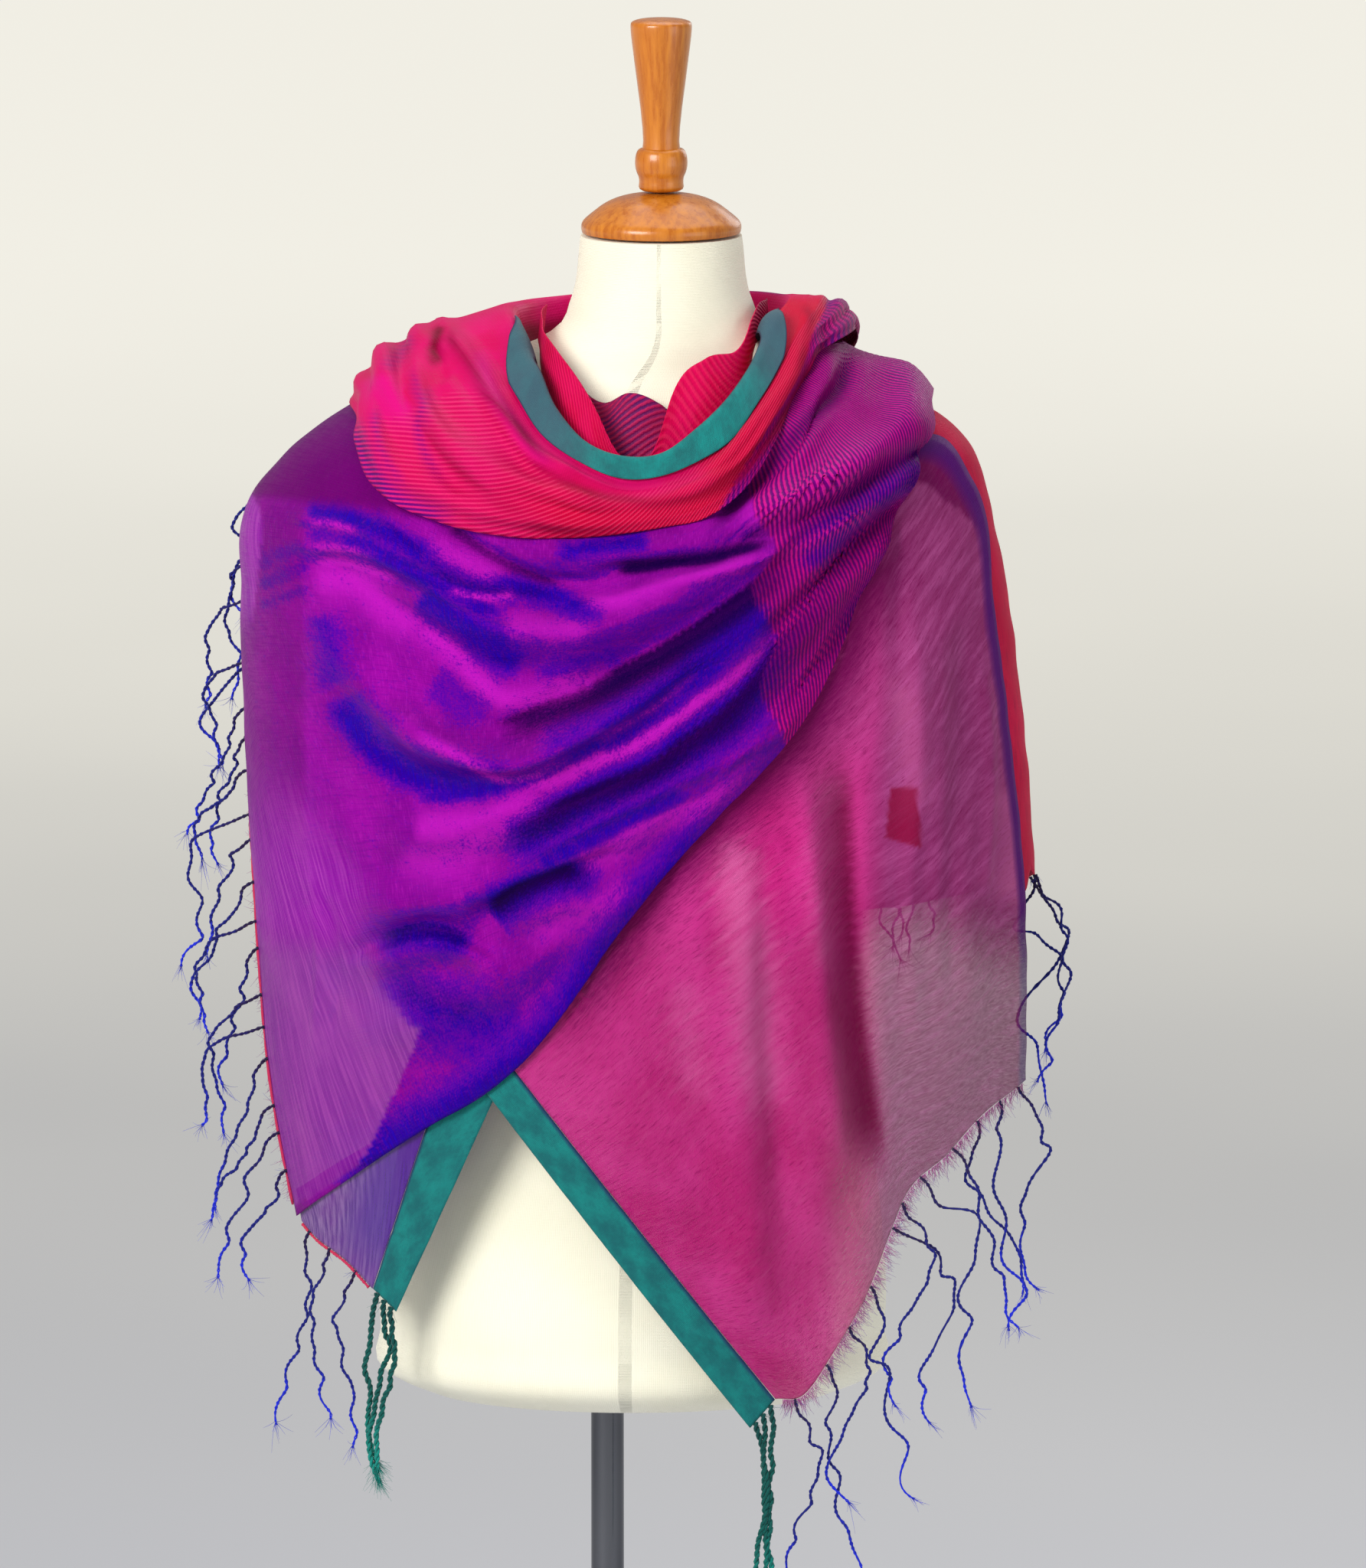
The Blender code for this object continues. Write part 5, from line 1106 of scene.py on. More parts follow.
class Soup:
    """Tubes and hairs gathered into one mesh, with a value along each."""

    def __init__(self):
        self.points = []
        self.faces = []
        self.values = []

    def tube(self, path, radii, sides, start=0.0, end=1.0):
        """A closed tube along the path, its value running from start to end."""
        path = numpy.asarray(path)
        count = len(path)
        radii = numpy.broadcast_to(radii, count)
        forward = unit(numpy.gradient(path, axis=0))
        turn = numpy.linspace(0.0, 2.0 * math.pi, sides, endpoint=False)[:, None]
        base = len(self.points)
        first = numpy.cross(forward[0], (0.31, 0.87, 0.38))
        for spot, ahead, radius in zip(path, forward, radii):
            first = unit(first - ahead * numpy.dot(first, ahead))
            second = numpy.cross(ahead, first)
            ring = spot + (first * numpy.cos(turn) + second * numpy.sin(turn)) * radius
            self.points.extend(ring.tolist())
        self.faces.extend(tube_faces(base, count, sides))
        self.values.extend(numpy.repeat(numpy.linspace(start, end, count), sides).tolist())

    def place(self, name, material, slot=None):
        mesh = new_mesh(name, self.points, self.faces)
        store(mesh, "tip", self.values)
        return place(name, mesh, material, slot)


# Materials

def srgb(red, green, blue):
    """A colour on the 0 to 255 scale, as linear values with alpha."""
    parts = [part / 255.0 for part in (red, green, blue)]
    linear = [part / 12.92 if part <= 0.04045 else ((part + 0.055) / 1.055) ** 2.4 for part in parts]
    return (*linear, 1.0)


class Look:
    """A Principled material and the nodes that feed it."""

    def __init__(self, name, **sockets):
        self.material = bpy.data.materials.new(name)
        self.material.use_nodes = True
        self.tree = self.material.node_tree
        self.shader = self.tree.nodes["Principled BSDF"]
        for socket, value in sockets.items():
            self.set(socket.replace("_", " "), value)

    def put(self, socket, value):
        if isinstance(value, bpy.types.NodeSocket):
            self.tree.links.new(value, socket)
        else:
            socket.default_value = value

    def set(self, socket, value):
        """Sets or links a socket of the shader."""
        self.put(self.shader.inputs[socket], value)

    def node(self, kind, values=(), **settings):
        made = self.tree.nodes.new(kind)
        for key, value in settings.items():
            setattr(made, key, value)
        for key, value in dict(values).items():
            self.put(made.inputs[key], value)
        return made

    def point(self, name):
        """A value stored at the mesh's points."""
        return self.node("ShaderNodeAttribute", attribute_name=name).outputs["Fac"]

    def cloth(self, turn=0.0, stretch=(1.0, 1.0)):
        """The cloth's own lengths in metres, turned by some degrees and stretched."""
        source = self.node("ShaderNodeUVMap", uv_map="cloth").outputs["UV"]
        if turn:
            rotation = (0.0, 0.0, math.radians(turn))
            source = self.node("ShaderNodeMapping", {"Vector": source, "Rotation": rotation}).outputs[0]
        return self.node("ShaderNodeMapping", {"Vector": source, "Scale": (*stretch, 1.0)}).outputs[0]

    def space(self, stretch=(1.0, 1.0, 1.0)):
        """The piece's own place in metres, stretched."""
        source = self.node("ShaderNodeTexCoord").outputs["Object"]
        return self.node("ShaderNodeMapping", {"Vector": source, "Scale": stretch}).outputs[0]

    def noise(self, vector, scale=1.0, detail=3.0, roughness=0.55):
        return self.node("ShaderNodeTexNoise", {"Vector": vector, "Scale": scale, "Detail": detail,
                                                "Roughness": roughness}).outputs["Fac"]

    def grain(self, across, down, detail=4.0, roughness=0.55, turn=0.0):
        """Noise on the cloth, with about this many spots in a metre across it and down it."""
        return self.noise(self.cloth(turn, (across, down)), 1.0, detail, roughness)

    def bands(self, period, across="X", distortion=0.5, detail_scale=4.0, turn=0.0):
        """Even bands across the cloth, a little distorted."""
        return self.node("ShaderNodeTexWave", {"Vector": self.cloth(turn),
                                               "Scale": 2.0 * math.pi / (20.0 * period),
                                               "Distortion": distortion, "Detail": 1.0,
                                               "Detail Scale": detail_scale},
                         wave_type="BANDS", bands_direction=across).outputs["Fac"]

    def sum(self, kind, first, second=0.0, third=0.0):
        return self.node("ShaderNodeMath", {0: first, 1: second, 2: third}, operation=kind).outputs[0]

    def stir(self, value, noise, amount):
        """The value, raised and lowered by the noise around its middle."""
        return self.sum("MULTIPLY_ADD", self.sum("SUBTRACT", noise, 0.5), amount, value)

    def fit(self, value, low, high, out_low=0.0, out_high=1.0):
        return self.node("ShaderNodeMapRange", {"Value": value, "From Min": low, "From Max": high,
                                                "To Min": out_low, "To Max": out_high},
                         interpolation_type="SMOOTHSTEP").outputs["Result"]

    def blend(self, share, first, second):
        return self.node("ShaderNodeMix", {"Factor": share, 6: first, 7: second},
                         data_type="RGBA").outputs[2]

    def tint(self, value, low, high, first, second, most=1.0):
        """The first colour, turned into the second or most of the way as the value goes from low to high."""
        return self.blend(self.fit(value, low, high, 0.0, most), first, second)

    def bump(self, *layers):
        """Bump layers, each a height value and its depth in metres. The finished material."""
        normal = None
        for height, depth in layers:
            made = self.node("ShaderNodeBump", {"Height": height, "Strength": 1.0, "Distance": depth})
            if normal is not None:
                self.put(made.inputs["Normal"], normal)
            normal = made.outputs["Normal"]
        self.set("Normal", normal)
        return self.material

    def weave(self, period, depth):
        """Bump layers of a plain weave: fine warp and weft, and slubs along each."""
        warp = self.bands(period, "X", 1.5, 3.0)
        weft = self.bands(period, "Y", 1.5, 3.0)
        return ((self.sum("MULTIPLY", warp, weft), depth), (self.grain(60.0, 900.0, 3.0), depth))


def wrap_look():
    """Shot silk, magenta across deep blue, with striped, thin and darker stretches. Its blue stretches are
    painted shade and sheen along the folds, its darker ones painted shade in their troughs, and its brightest
    ones painted highlights on their crests.
    """
    look = Look("shot_silk", Roughness=0.42, Sheen_Weight=0.03, Sheen_Roughness=0.4,
                Sheen_Tint=srgb(255, 60, 235), Specular_IOR_Level=0.22, Specular_Tint=srgb(190, 10, 190),
                Anisotropic=0.4)
    threads = look.grain(900.0, 140.0)
    slubs = look.grain(60.0, 900.0)
    patch = look.grain(26.0, 20.0, 5.0)
    grain = look.grain(520.0, 760.0, 5.0, 0.65)
    crumple = look.grain(85.0, 150.0, 5.0, 0.6, 24.0)
    magenta = look.tint(patch, 0.35, 0.7, srgb(116, 4, 128), srgb(140, 8, 144))
    magenta = look.tint(slubs, 0.42, 0.8, magenta, srgb(84, 2, 118), 0.45)
    # Painted highlights on the crests of the folds
    magenta = look.blend(look.point("bright"), magenta, srgb(176, 22, 172))
    magenta = look.tint(threads, 0.45, 0.8, magenta, srgb(188, 34, 180), 0.35)
    # Painted blue shade and sheen where the folds turn away, broken up by the grain and threads
    deep = look.tint(threads, 0.35, 0.7, srgb(36, 0, 132), srgb(28, 2, 160))
    grainy_blue_shade = look.stir(look.stir(look.stir(look.point("blue"), grain, 1.5), threads, 0.7), crumple, 0.8)
    body = look.tint(grainy_blue_shade, 0.05, 0.55, magenta, srgb(84, 4, 146))
    body = look.tint(grainy_blue_shade, 0.45, 1.0, body, deep)
    # Plum over the upper left shoulder, and painted shade along the left side
    body = look.blend(look.point("plum"), body, srgb(86, 0, 84))
    # Painted shade in the troughs of the folds
    body = look.tint(look.stir(look.point("dark"), grain, 0.7), 0.06, 1.0, body, srgb(14, 0, 60))
    stripe = look.bands(STRIPE_PERIOD)
    # Violet and pink stripes, turned bluer by the painted shade and with painted highlights
    violet = look.tint(grainy_blue_shade, 0.25, 1.0, srgb(96, 4, 104), srgb(46, 2, 120))
    pink = look.tint(grainy_blue_shade, 0.25, 1.0, srgb(184, 12, 118), srgb(112, 8, 126))
    pink = look.blend(look.point("bright"), pink, srgb(192, 24, 136))
    striped = look.tint(stripe, 0.3, 0.75, violet, pink)
    # Painted shade in the troughs, over the stripes
    striped = look.blend(look.sum("MULTIPLY", look.point("dark"), 0.8), striped, srgb(40, 2, 70))
    thin = look.tint(look.grain(700.0, 26.0), 0.40, 0.66, srgb(128, 20, 148), srgb(158, 56, 166))
    thin = look.tint(patch, 0.45, 0.75, thin, srgb(166, 70, 170), 0.5)
    mixed = look.blend(look.point("stripe"), body, striped)
    look.set("Base Color", look.blend(look.sum("MULTIPLY", look.point("thin"), 0.85), mixed, thin))
    look.set("Alpha", look.fit(look.point("sheer"), 0.0, 1.0, 1.0, 0.78))
    look.set("Roughness", look.fit(slubs, 0.3, 0.8, 0.36, 0.52))
    rib = look.sum("MULTIPLY", stripe, look.point("stripe"))
    return look.bump(*look.weave(0.0011, 0.00012), (rib, 0.0004), (patch, 0.0006), (crumple, 0.0009))


def under_look():
    """Thin lilac silk that shows what lies under it, bluer where another layer does."""
    look = Look("thin_shot_silk", Roughness=0.5, Sheen_Weight=0.05, Specular_IOR_Level=0.15, Alpha=0.72)
    threads = look.grain(420.0, 40.0, turn=-24.0)
    lilac = look.tint(threads, 0.35, 0.68, srgb(84, 20, 130), srgb(142, 104, 166))
    lilac = look.tint(look.grain(38.0, 26.0, 3.0), 0.4, 0.7, lilac, srgb(120, 24, 150), 0.4)
    look.set("Base Color", look.blend(look.point("deep"), lilac, srgb(70, 4, 142)))
    return look.bump(*look.weave(0.0011, 0.00012), (threads, 0.0003))


def rose_look():
    """Sheer streaked silk, its streaks slanting across the panel, with painted highlights on its soft folds
    and painted shade in its trough and along the wrap's edge.
    """
    look = Look("sheer_rose", Roughness=0.55, Sheen_Weight=0.05, Sheen_Roughness=0.4,
                Sheen_Tint=srgb(255, 120, 210), Specular_IOR_Level=0.15, Specular_Tint=srgb(255, 120, 210))
    streaks = look.grain(110.0, 900.0, 5.0, 0.7, PANEL_STREAK_TURN)
    broad = look.grain(26.0, 210.0, 5.0, 0.65, PANEL_STREAK_TURN)
    patch = look.grain(12.0, 8.0)
    rose = look.tint(patch, 0.35, 0.68, srgb(182, 26, 112), srgb(204, 52, 140))
    mauve = look.tint(broad, 0.35, 0.7, srgb(132, 40, 98), srgb(164, 72, 132))
    body = look.blend(look.point("mauve"), rose, mauve)
    body = look.tint(streaks, 0.46, 0.72, body, srgb(110, 6, 66), 0.65)
    # Painted highlights on the panel's soft folds, streaked
    painted_highlight = look.stir(look.stir(look.point("light"), broad, -1.1), streaks, -0.5)
    body = look.tint(painted_highlight, -0.05, 1.05, body, srgb(222, 116, 176), 0.62)
    # Plum above the panel's second edge, and the painted shadow along the wrap's edge
    body = look.tint(look.stir(look.point("plum"), streaks, 0.9), 0.0, 0.95, body, srgb(104, 4, 74))
    body = look.blend(look.point("edge"), body, srgb(78, 12, 104))
    body = look.blend(look.point("flap"), body, srgb(126, 2, 44))
    # Painted shade in the panel's trough
    look.set("Base Color", look.blend(look.point("dark"), body, srgb(96, 2, 44)))
    # Coverage from the streaks, raised in the painted shade of the trough and by the stored cover
    cover = look.sum("MULTIPLY_ADD", look.point("dark"), 0.4, look.fit(streaks, 0.3, 0.7, 0.50, 0.66))
    cover = look.sum("MULTIPLY_ADD", look.point("cover"), 0.4, cover)
    look.set("Alpha", look.sum("MINIMUM", cover, 1.0))
    return look.bump(*look.weave(0.0010, 0.00010), (streaks, 0.0002), (patch, 0.0006))


def red_look():
    """Plain red silk with dark slubs."""
    look = Look("red_silk", Roughness=0.6, Specular_IOR_Level=0.1, Specular_Tint=srgb(255, 40, 90))
    patch = look.grain(16.0, 10.0, 3.0)
    red = look.tint(patch, 0.35, 0.7, srgb(184, 3, 56), srgb(202, 8, 68))
    look.set("Base Color", look.tint(look.grain(900.0, 60.0), 0.42, 0.75, red, srgb(128, 0, 56), 0.6))
    return look.bump(*look.weave(0.0012, 0.00012), (patch, 0.0006))


def cowl_look():
    """Ribbed pink silk, redder in front, with violet threads at its sides, painted highlights on its crests
    and rib tops, and painted violet and dark shade in its creases.
    """
    look = Look("ribbed_pink", Roughness=0.5, Sheen_Weight=0.05, Sheen_Roughness=0.4,
                Sheen_Tint=srgb(255, 60, 150), Specular_IOR_Level=0.2, Specular_Tint=srgb(255, 60, 120))
    rib = look.sum("SINE", look.sum("MULTIPLY", look.point("ribs"), 2.0 * math.pi))
    rib = look.sum("MULTIPLY_ADD", look.sum("MULTIPLY", rib, look.point("ribbed")), 0.5, 0.5)
    patch = look.grain(26.0, 30.0, 3.0)
    pink = look.tint(patch, 0.3, 0.7, srgb(192, 8, 82), srgb(200, 14, 98))
    body = look.blend(look.point("red"), pink, srgb(190, 6, 50))
    # Painted highlights on the crests
    body = look.blend(look.point("bright"), body, srgb(204, 14, 122))
    # The ribs: painted highlights on their tops and painted shade between them
    body = look.tint(rib, 0.50, 0.95, body, srgb(228, 72, 124), 0.34)
    body = look.tint(rib, 0.42, 0.05, body, srgb(158, 0, 58), 0.34)
    # Painted violet shade in the creases, ribbed
    violet = look.tint(rib, 0.35, 0.7, srgb(76, 8, 112), srgb(196, 28, 116))
    body = look.blend(look.point("violet"), body, violet)
    shift = look.grain(18.0, 24.0, 2.0)
    magenta = look.tint(shift, 0.35, 0.65, srgb(152, 10, 112), srgb(174, 16, 112))
    purple = look.tint(shift, 0.35, 0.65, srgb(84, 6, 108), srgb(106, 4, 88))
    striped = look.tint(look.bands(STRIPE_PERIOD, "X", 0.8, 3.0, 6.0), 0.3, 0.75, purple, magenta)
    body = look.blend(look.point("stripe"), body, striped)
    # Painted shade in the creases and inside the rim
    look.set("Base Color", look.blend(look.point("dark"), body, srgb(112, 0, 38)))
    return look.bump(*look.weave(0.0013, 0.00012), (rib, 0.0003), (patch, 0.0008))


def inner_look():
    """Ribbed pink silk of the stretch inside the cowl."""
    look = Look("inner_pink", Roughness=0.5, Specular_IOR_Level=0.15, Specular_Tint=srgb(255, 60, 120))
    rib = look.bands(RIB_PERIOD, "Y", 0.8, 3.0, 38.0)
    patch = look.grain(30.0, 40.0, 3.0)
    pink = look.tint(patch, 0.3, 0.7, srgb(192, 4, 62), srgb(206, 12, 84))
    body = look.tint(rib, 0.25, 0.9, pink, srgb(226, 52, 96), 0.3)
    look.set("Base Color", look.blend(look.point("dark"), body, srgb(120, 0, 60)))
    return look.bump(*look.weave(0.0013, 0.00012), (rib, 0.0004), (patch, 0.0006))


def plum_look():
    """Plum and red ribs of the innermost stretch."""
    look = Look("ribbed_plum", Roughness=0.5, Specular_IOR_Level=0.15)
    rib = look.bands(RIB_PERIOD, "Y", 0.8, 3.0, -32.0)
    body = look.tint(rib, 0.3, 0.75, srgb(86, 8, 86), srgb(172, 18, 84))
    look.set("Base Color", look.tint(look.grain(30.0, 40.0, 3.0), 0.35, 0.7, body, srgb(150, 12, 66), 0.7))
    return look.bump(*look.weave(0.0013, 0.00012), (rib, 0.0005))


def teal_look(name, bright, dark, edge):
    """A dense woven border: mottled teal with a navy line on the side where it meets the silk."""
    look = Look(name, Roughness=0.6, Sheen_Weight=0.1, Specular_IOR_Level=0.2)
    mottle = look.grain(60.0, 40.0, 5.0, 0.65)
    body = look.tint(mottle, 0.32, 0.68, dark, bright)
    body = look.tint(look.grain(700.0, 260.0, 3.0), 0.45, 0.8, body, dark, 0.5)
    body = look.blend(look.point("grey"), body, srgb(56, 80, 98))
    look.set("Base Color", look.blend(look.point("line"), body, edge))
    return look.bump(*look.weave(0.0010, 0.00016), (mottle, 0.0005))


def thread_look(name, root, middle, tip):
    """Twisted thread that changes colour from its root to its loose end."""
    look = Look(name, Roughness=0.65, Sheen_Weight=0.15, Specular_IOR_Level=0.15)
    share = look.stir(look.point("tip"), look.noise(look.space(), 240.0, 2.0), 0.4)
    body = look.tint(share, 0.0, 0.35, root, middle)
    look.set("Base Color", look.tint(share, 0.6, 1.0, body, tip))
    return look.bump((look.noise(look.space((1.0, 1.0, 0.4)), 1800.0, 2.0), 0.0003))


def jersey_look():
    """Cream jersey, finely knitted."""
    look = Look("cream_jersey", Roughness=0.75, Sheen_Weight=0.25, Specular_IOR_Level=0.2)
    knit = look.bands(0.0012, "X", 0.5, 2.0)
    rows = look.bands(0.0010, "Y", 0.5, 2.0)
    cream = look.tint(look.noise(look.space(), 9.0), 0.3, 0.7, srgb(243, 240, 216), srgb(250, 248, 228))
    look.set("Base Color", look.tint(knit, 0.2, 0.9, cream, srgb(226, 221, 194), 0.25))
    return look.bump((look.sum("MULTIPLY", knit, rows), 0.00015))


def wood_look():
    """Honey-coloured wood, its grain upright."""
    look = Look("honey_wood", Roughness=0.3, Specular_IOR_Level=0.5, Coat_Weight=0.2, Coat_Roughness=0.15)
    grain = look.noise(look.space((240.0, 240.0, 12.0)), 1.0, 6.0, 0.65)
    ring = look.noise(look.space((14.0, 14.0, 3.0)))
    body = look.tint(grain, 0.3, 0.7, srgb(172, 92, 14), srgb(206, 126, 30))
    look.set("Base Color", look.tint(ring, 0.35, 0.7, body, srgb(184, 100, 20), 0.6))
    look.set("Roughness", look.fit(grain, 0.3, 0.7, 0.24, 0.36))
    return look.bump((grain, 0.0002))


def chrome_look():
    """Polished chrome with a faint haze."""
    look = Look("polished_chrome", Roughness=0.12, Metallic=1.0)
    haze = look.noise(look.space((30.0, 30.0, 4.0)))
    look.set("Base Color", look.tint(haze, 0.3, 0.7, srgb(84, 86, 92), srgb(104, 106, 112)))
    look.set("Roughness", look.fit(haze, 0.3, 0.7, 0.08, 0.18))
    return look.material


def black_look():
    """Black enamel, slightly pitted."""
    look = Look("black_enamel", Roughness=0.4, Specular_IOR_Level=0.5)
    speck = look.noise(look.space(), 600.0, 2.0)
    look.set("Base Color", look.tint(speck, 0.4, 0.7, srgb(28, 28, 30), srgb(44, 44, 46)))
    look.set("Roughness", look.fit(speck, 0.3, 0.7, 0.34, 0.5))
    return look.bump((speck, 0.0002))


# Cloth pieces: the values that each look reads at the cloth's points

def wrap_values(cloth):
    places = cloth.places
    across = places[..., 0]
    up = places[..., 1]
    # tilt: how far the folds turn the cloth towards the light above and to the left
    plain = grid_normals(wrap_base(cloth.u, cloth.v))
    tilt = (cloth.normals - plain) @ numpy.array((-0.6, 0.0, 0.8))
    # Painted highlights on the crests
    bright = numpy.maximum(shading(PAINTED_HIGHLIGHTS, places), shading(PAINTED_HIGHLIGHT_LINES, places))
    stripe = past(places, STRIPE_EDGE, WOVEN_EDGE)
    # Painted blue shade where the folds turn away from that light, less on the stripes
    turned = (0.45 - 0.35 * stripe) * fall(tilt, 0.02, 0.42)
    # Plum over the upper left shoulder, and painted shade along the left side where the cloth turns away
    plum = 0.85 * rise(up + 0.12 * (across + 0.19), 1.232, 0.012)
    plum = numpy.maximum(plum, 0.35 * fall(across, -0.186, 0.004))
    soft = mix(0.004, 0.040, rise(up, 0.90, 0.06))
    thin = past(places, THIN_EDGE, soft) * fall(up, 1.10, 0.10)
    thin = numpy.maximum(thin, past(places, THIN_CORNER, 0.003) * rise(up, 1.150, 0.03))
    return {
        # blue: painted shade and sheen; dark: painted shade; bright: painted highlights
        "blue": numpy.maximum(turned, shading(BLUE_PAINTED_SHADE, places, BLUE_SPREAD)) * (1.0 - 0.85 * bright),
        "dark": shading(DARK_PAINTED_SHADE, places) * (1.0 - 0.7 * bright),
        "bright": bright,
        "stripe": stripe,
        "plum": plum * fall(across, 0.0, 0.08),
        "thin": thin,
        "sheer": thin * fall(up, 0.99, 0.05),
    }


def under_values(cloth):
    return {"deep": 0.8 * rise(cloth.u, 0.40, 0.40) * fall(cloth.v, 1.15, 0.5)}


def flap_seen(across, up):
    """1 where the red end shows through the panel, within its four slanting sides."""
    tall = up - 1.0427
    left = (across - 0.1750 - 0.093 * tall) / 0.0018
    right = (0.1948 - 0.104 * tall - across) / 0.0018
    foot = (up - 1.0296 + 0.287 * (across - 0.1733)) / 0.0020
    top = (1.0609 - up) / 0.0028
    return ease(0.5 + numpy.minimum.reduce((left, right, foot, top)))


def panel_values(cloth):
    places = cloth.places
    across = places[..., 0]
    up = places[..., 1]
    # Plum above the panel's second edge; with it, the painted shadow along the wrap's edge
    plum = 0.75 * (1.0 - past(places, PANEL_SECOND_EDGE, WOVEN_EDGE))
    raised = 0.026 * fall(numpy.abs(across - 0.190), 0.060, 0.060)
    return {
        "plum": numpy.maximum(plum, shading(PANEL_SHADOW, places)),
        # light: painted highlights on the soft folds
        "light": shading(PANEL_PAINTED_HIGHLIGHTS, places),
        "edge": rise((cloth.u - 1.0) * cloth.size[0], -0.011, 0.005),
        "flap": 0.82 * flap_seen(across, up),
        "cover": numpy.maximum(rise(up - raised, 0.930, 0.075), 0.35 * fall(across, 0.150, 0.02)),
        # dark: painted shade in the trough
        "dark": numpy.clip(0.85 * fade_from(places, PANEL_TROUGH, 0.006, 0.017), 0.0, 1.0),
        "mauve": numpy.maximum(rise(across, 0.150, 0.03), 0.6 * rise(up, 1.02, 0.1)),
    }


def cowl_values(cloth):
    places = cloth.places
    turn = mix(-180.0, 180.0, cloth.u)
    level = cowl_level(turn, cloth.v)
    facing = numpy.cos(numpy.radians(turn))
    red = rise(facing, 0.1, 0.8) * fall(level, 0.95, 0.7) * mix(0.25, 1.0, rise(places[..., 0], -0.075, 0.06))
    stripe = past(places, COWL_STRIPE_EDGE, WOVEN_EDGE) * (facing > -0.35)
    stripe = numpy.maximum(stripe, rise(turn, 100.0, 20.0) * fall(turn, 172.0, 34.0))
    return {
        "ribs": cowl_ribs(places),
        "ribbed": mix(0.12, 1.0, past(places, COWL_RIB_TOP, 0.010)),
        "red": numpy.maximum(red, rise(turn, 4.0, 14.0) * fall(turn, 100.0, 20.0)),
        # Painted highlights on the crests, and painted violet and dark shade in the creases and inside the
        # rim
        "bright": shading(COWL_PAINTED_HIGHLIGHTS, places),
        "violet": shading(COWL_PAINTED_VIOLET_SHADE, places),
        "stripe": stripe * fall(level, 2.1, 0.3),
        "dark": numpy.maximum(shading(COWL_SHADE, places), rise(level, 2.35, 0.4)),
    }


def navy_line(distance, width):
    """1 on a line of this width along an edge, by the distance from the edge."""
    return 1.0 - rise(distance, width, NAVY_FADE)


def left_values(cloth):
    return {"line": navy_line(cloth.u * cloth.size[0], NAVY_LINE), "grey": 0.0}


def right_values(cloth):
    return {"line": navy_line((1.0 - cloth.u) * cloth.size[0], NAVY_LINE), "grey": 0.0}


def rim_values(cloth):
    turn = mix(-BORDER_TURN, BORDER_TURN, cloth.u)
    upper = navy_line(cloth.v * cloth.size[1], 0.0004)
    lower = navy_line((1.0 - cloth.v) * cloth.size[1], 0.0010)
    return {
        "line": numpy.maximum(upper, lower),
        "grey": numpy.maximum(0.80 * fall(turn, -12.0, 22.0), 0.85 * rise(turn, 22.0, 30.0)),
    }


def inner_values(cloth):
    return {"dark": 0.8 * rise(mix(COWL_INNER[0].turn, COWL_INNER[-1].turn, cloth.u), 60.0, 20.0)}


def no_values(_):
    return {}


def add_cloths():
    """Each stretch of the scarf that shows: the pieces, and the lengths they are cut to, by name."""
    wrap = creased(folded(wrap_base, WRAP_RIDGES), WRAP_CREASES, 0.0007, 3)
    panel = creased(folded(panel_base, PANEL_RIDGES), PANEL_CREASES, 0.0008, 5)
    cowl = creased(cowl_outer, COWL_CREASES, 0.0008, 7, closed=True)
    left = creased(LEFT_STRIP, BORDER_CREASES, 0.0006, 11)
    right = creased(RIGHT_STRIP, BORDER_CREASES, 0.0006, 12)
    back = creased(back_base, BACK_CREASES, 0.0012, 13)
    rim = creased(cowl_border, (), 0.0005, 14)
    inner = creased(layer(COWL_INNER), (), 0.0006, 15)
    neck = creased(layer(NECK_INNER), (), 0.0006, 16)
    teal = teal_look("woven_teal", srgb(2, 124, 120), srgb(0, 92, 96), srgb(18, 18, 84))
    rim_teal = teal_look("woven_teal_rim", srgb(0, 132, 128), srgb(8, 98, 100), srgb(30, 20, 70))
    red = red_look()
    made = {}
    sizes = {}
    for cloth, values, material, slot in (
            (Cloth("wrap_front", wrap, 240, 196), wrap_values, wrap_look(), "silk_purple"),
            (Cloth("wrap_under", under_base, 60, 50), under_values, under_look(), "silk_lilac"),
            (Cloth("border_left", left, 16, 90), left_values, teal, "border_teal"),
            (Cloth("panel_right", panel, 150, 170), panel_values, rose_look(), "silk_rose"),
            (Cloth("border_right", right, 16, 150), right_values, teal, "border_teal"),
            (Cloth("back_panel", back, 210, 84, crowd=1.3), no_values, red, "silk_red"),
            (Cloth("back_flap", FLAP, 24, 30), no_values, red, "silk_red"),
            (Cloth("cowl_outer", cowl, 360, 84, closed=True), cowl_values, cowl_look(), "silk_pink"),
            (Cloth("cowl_border", rim, 190, 16), rim_values, rim_teal, "border_teal"),
            (Cloth("cowl_inner", inner, 200, 24), inner_values, inner_look(), "silk_pink"),
            (Cloth("neck_inner", neck, 120, 20), no_values, plum_look(), "silk_plum")):
        for key, shares in values(cloth).items():
            cloth.value(key, shares)
        made[cloth.name] = place(cloth.name, cloth.mesh, material, slot)
        sizes[cloth.name] = cloth.size
    return made, sizes


# Fringes: an edge gives the place on a cloth at a share of its length, and the place just inside it

Thread = namedtuple("Thread", "radius pitch wild tuft")
LOOSE = Thread(STRAND / 2, 0.0075, 1.0, 12)
BRAIDED = Thread(BRAID / 2, 0.0095, 0.4, 60)
FINE = Thread(WINE_STRAND / 2, 0.0075, 1.0, 12)


def left_edge(at, inside=False):
    return 0.02 if inside else 0.0, at


def low_edge(at, inside=False):
    return at, 0.96 if inside else 1.0


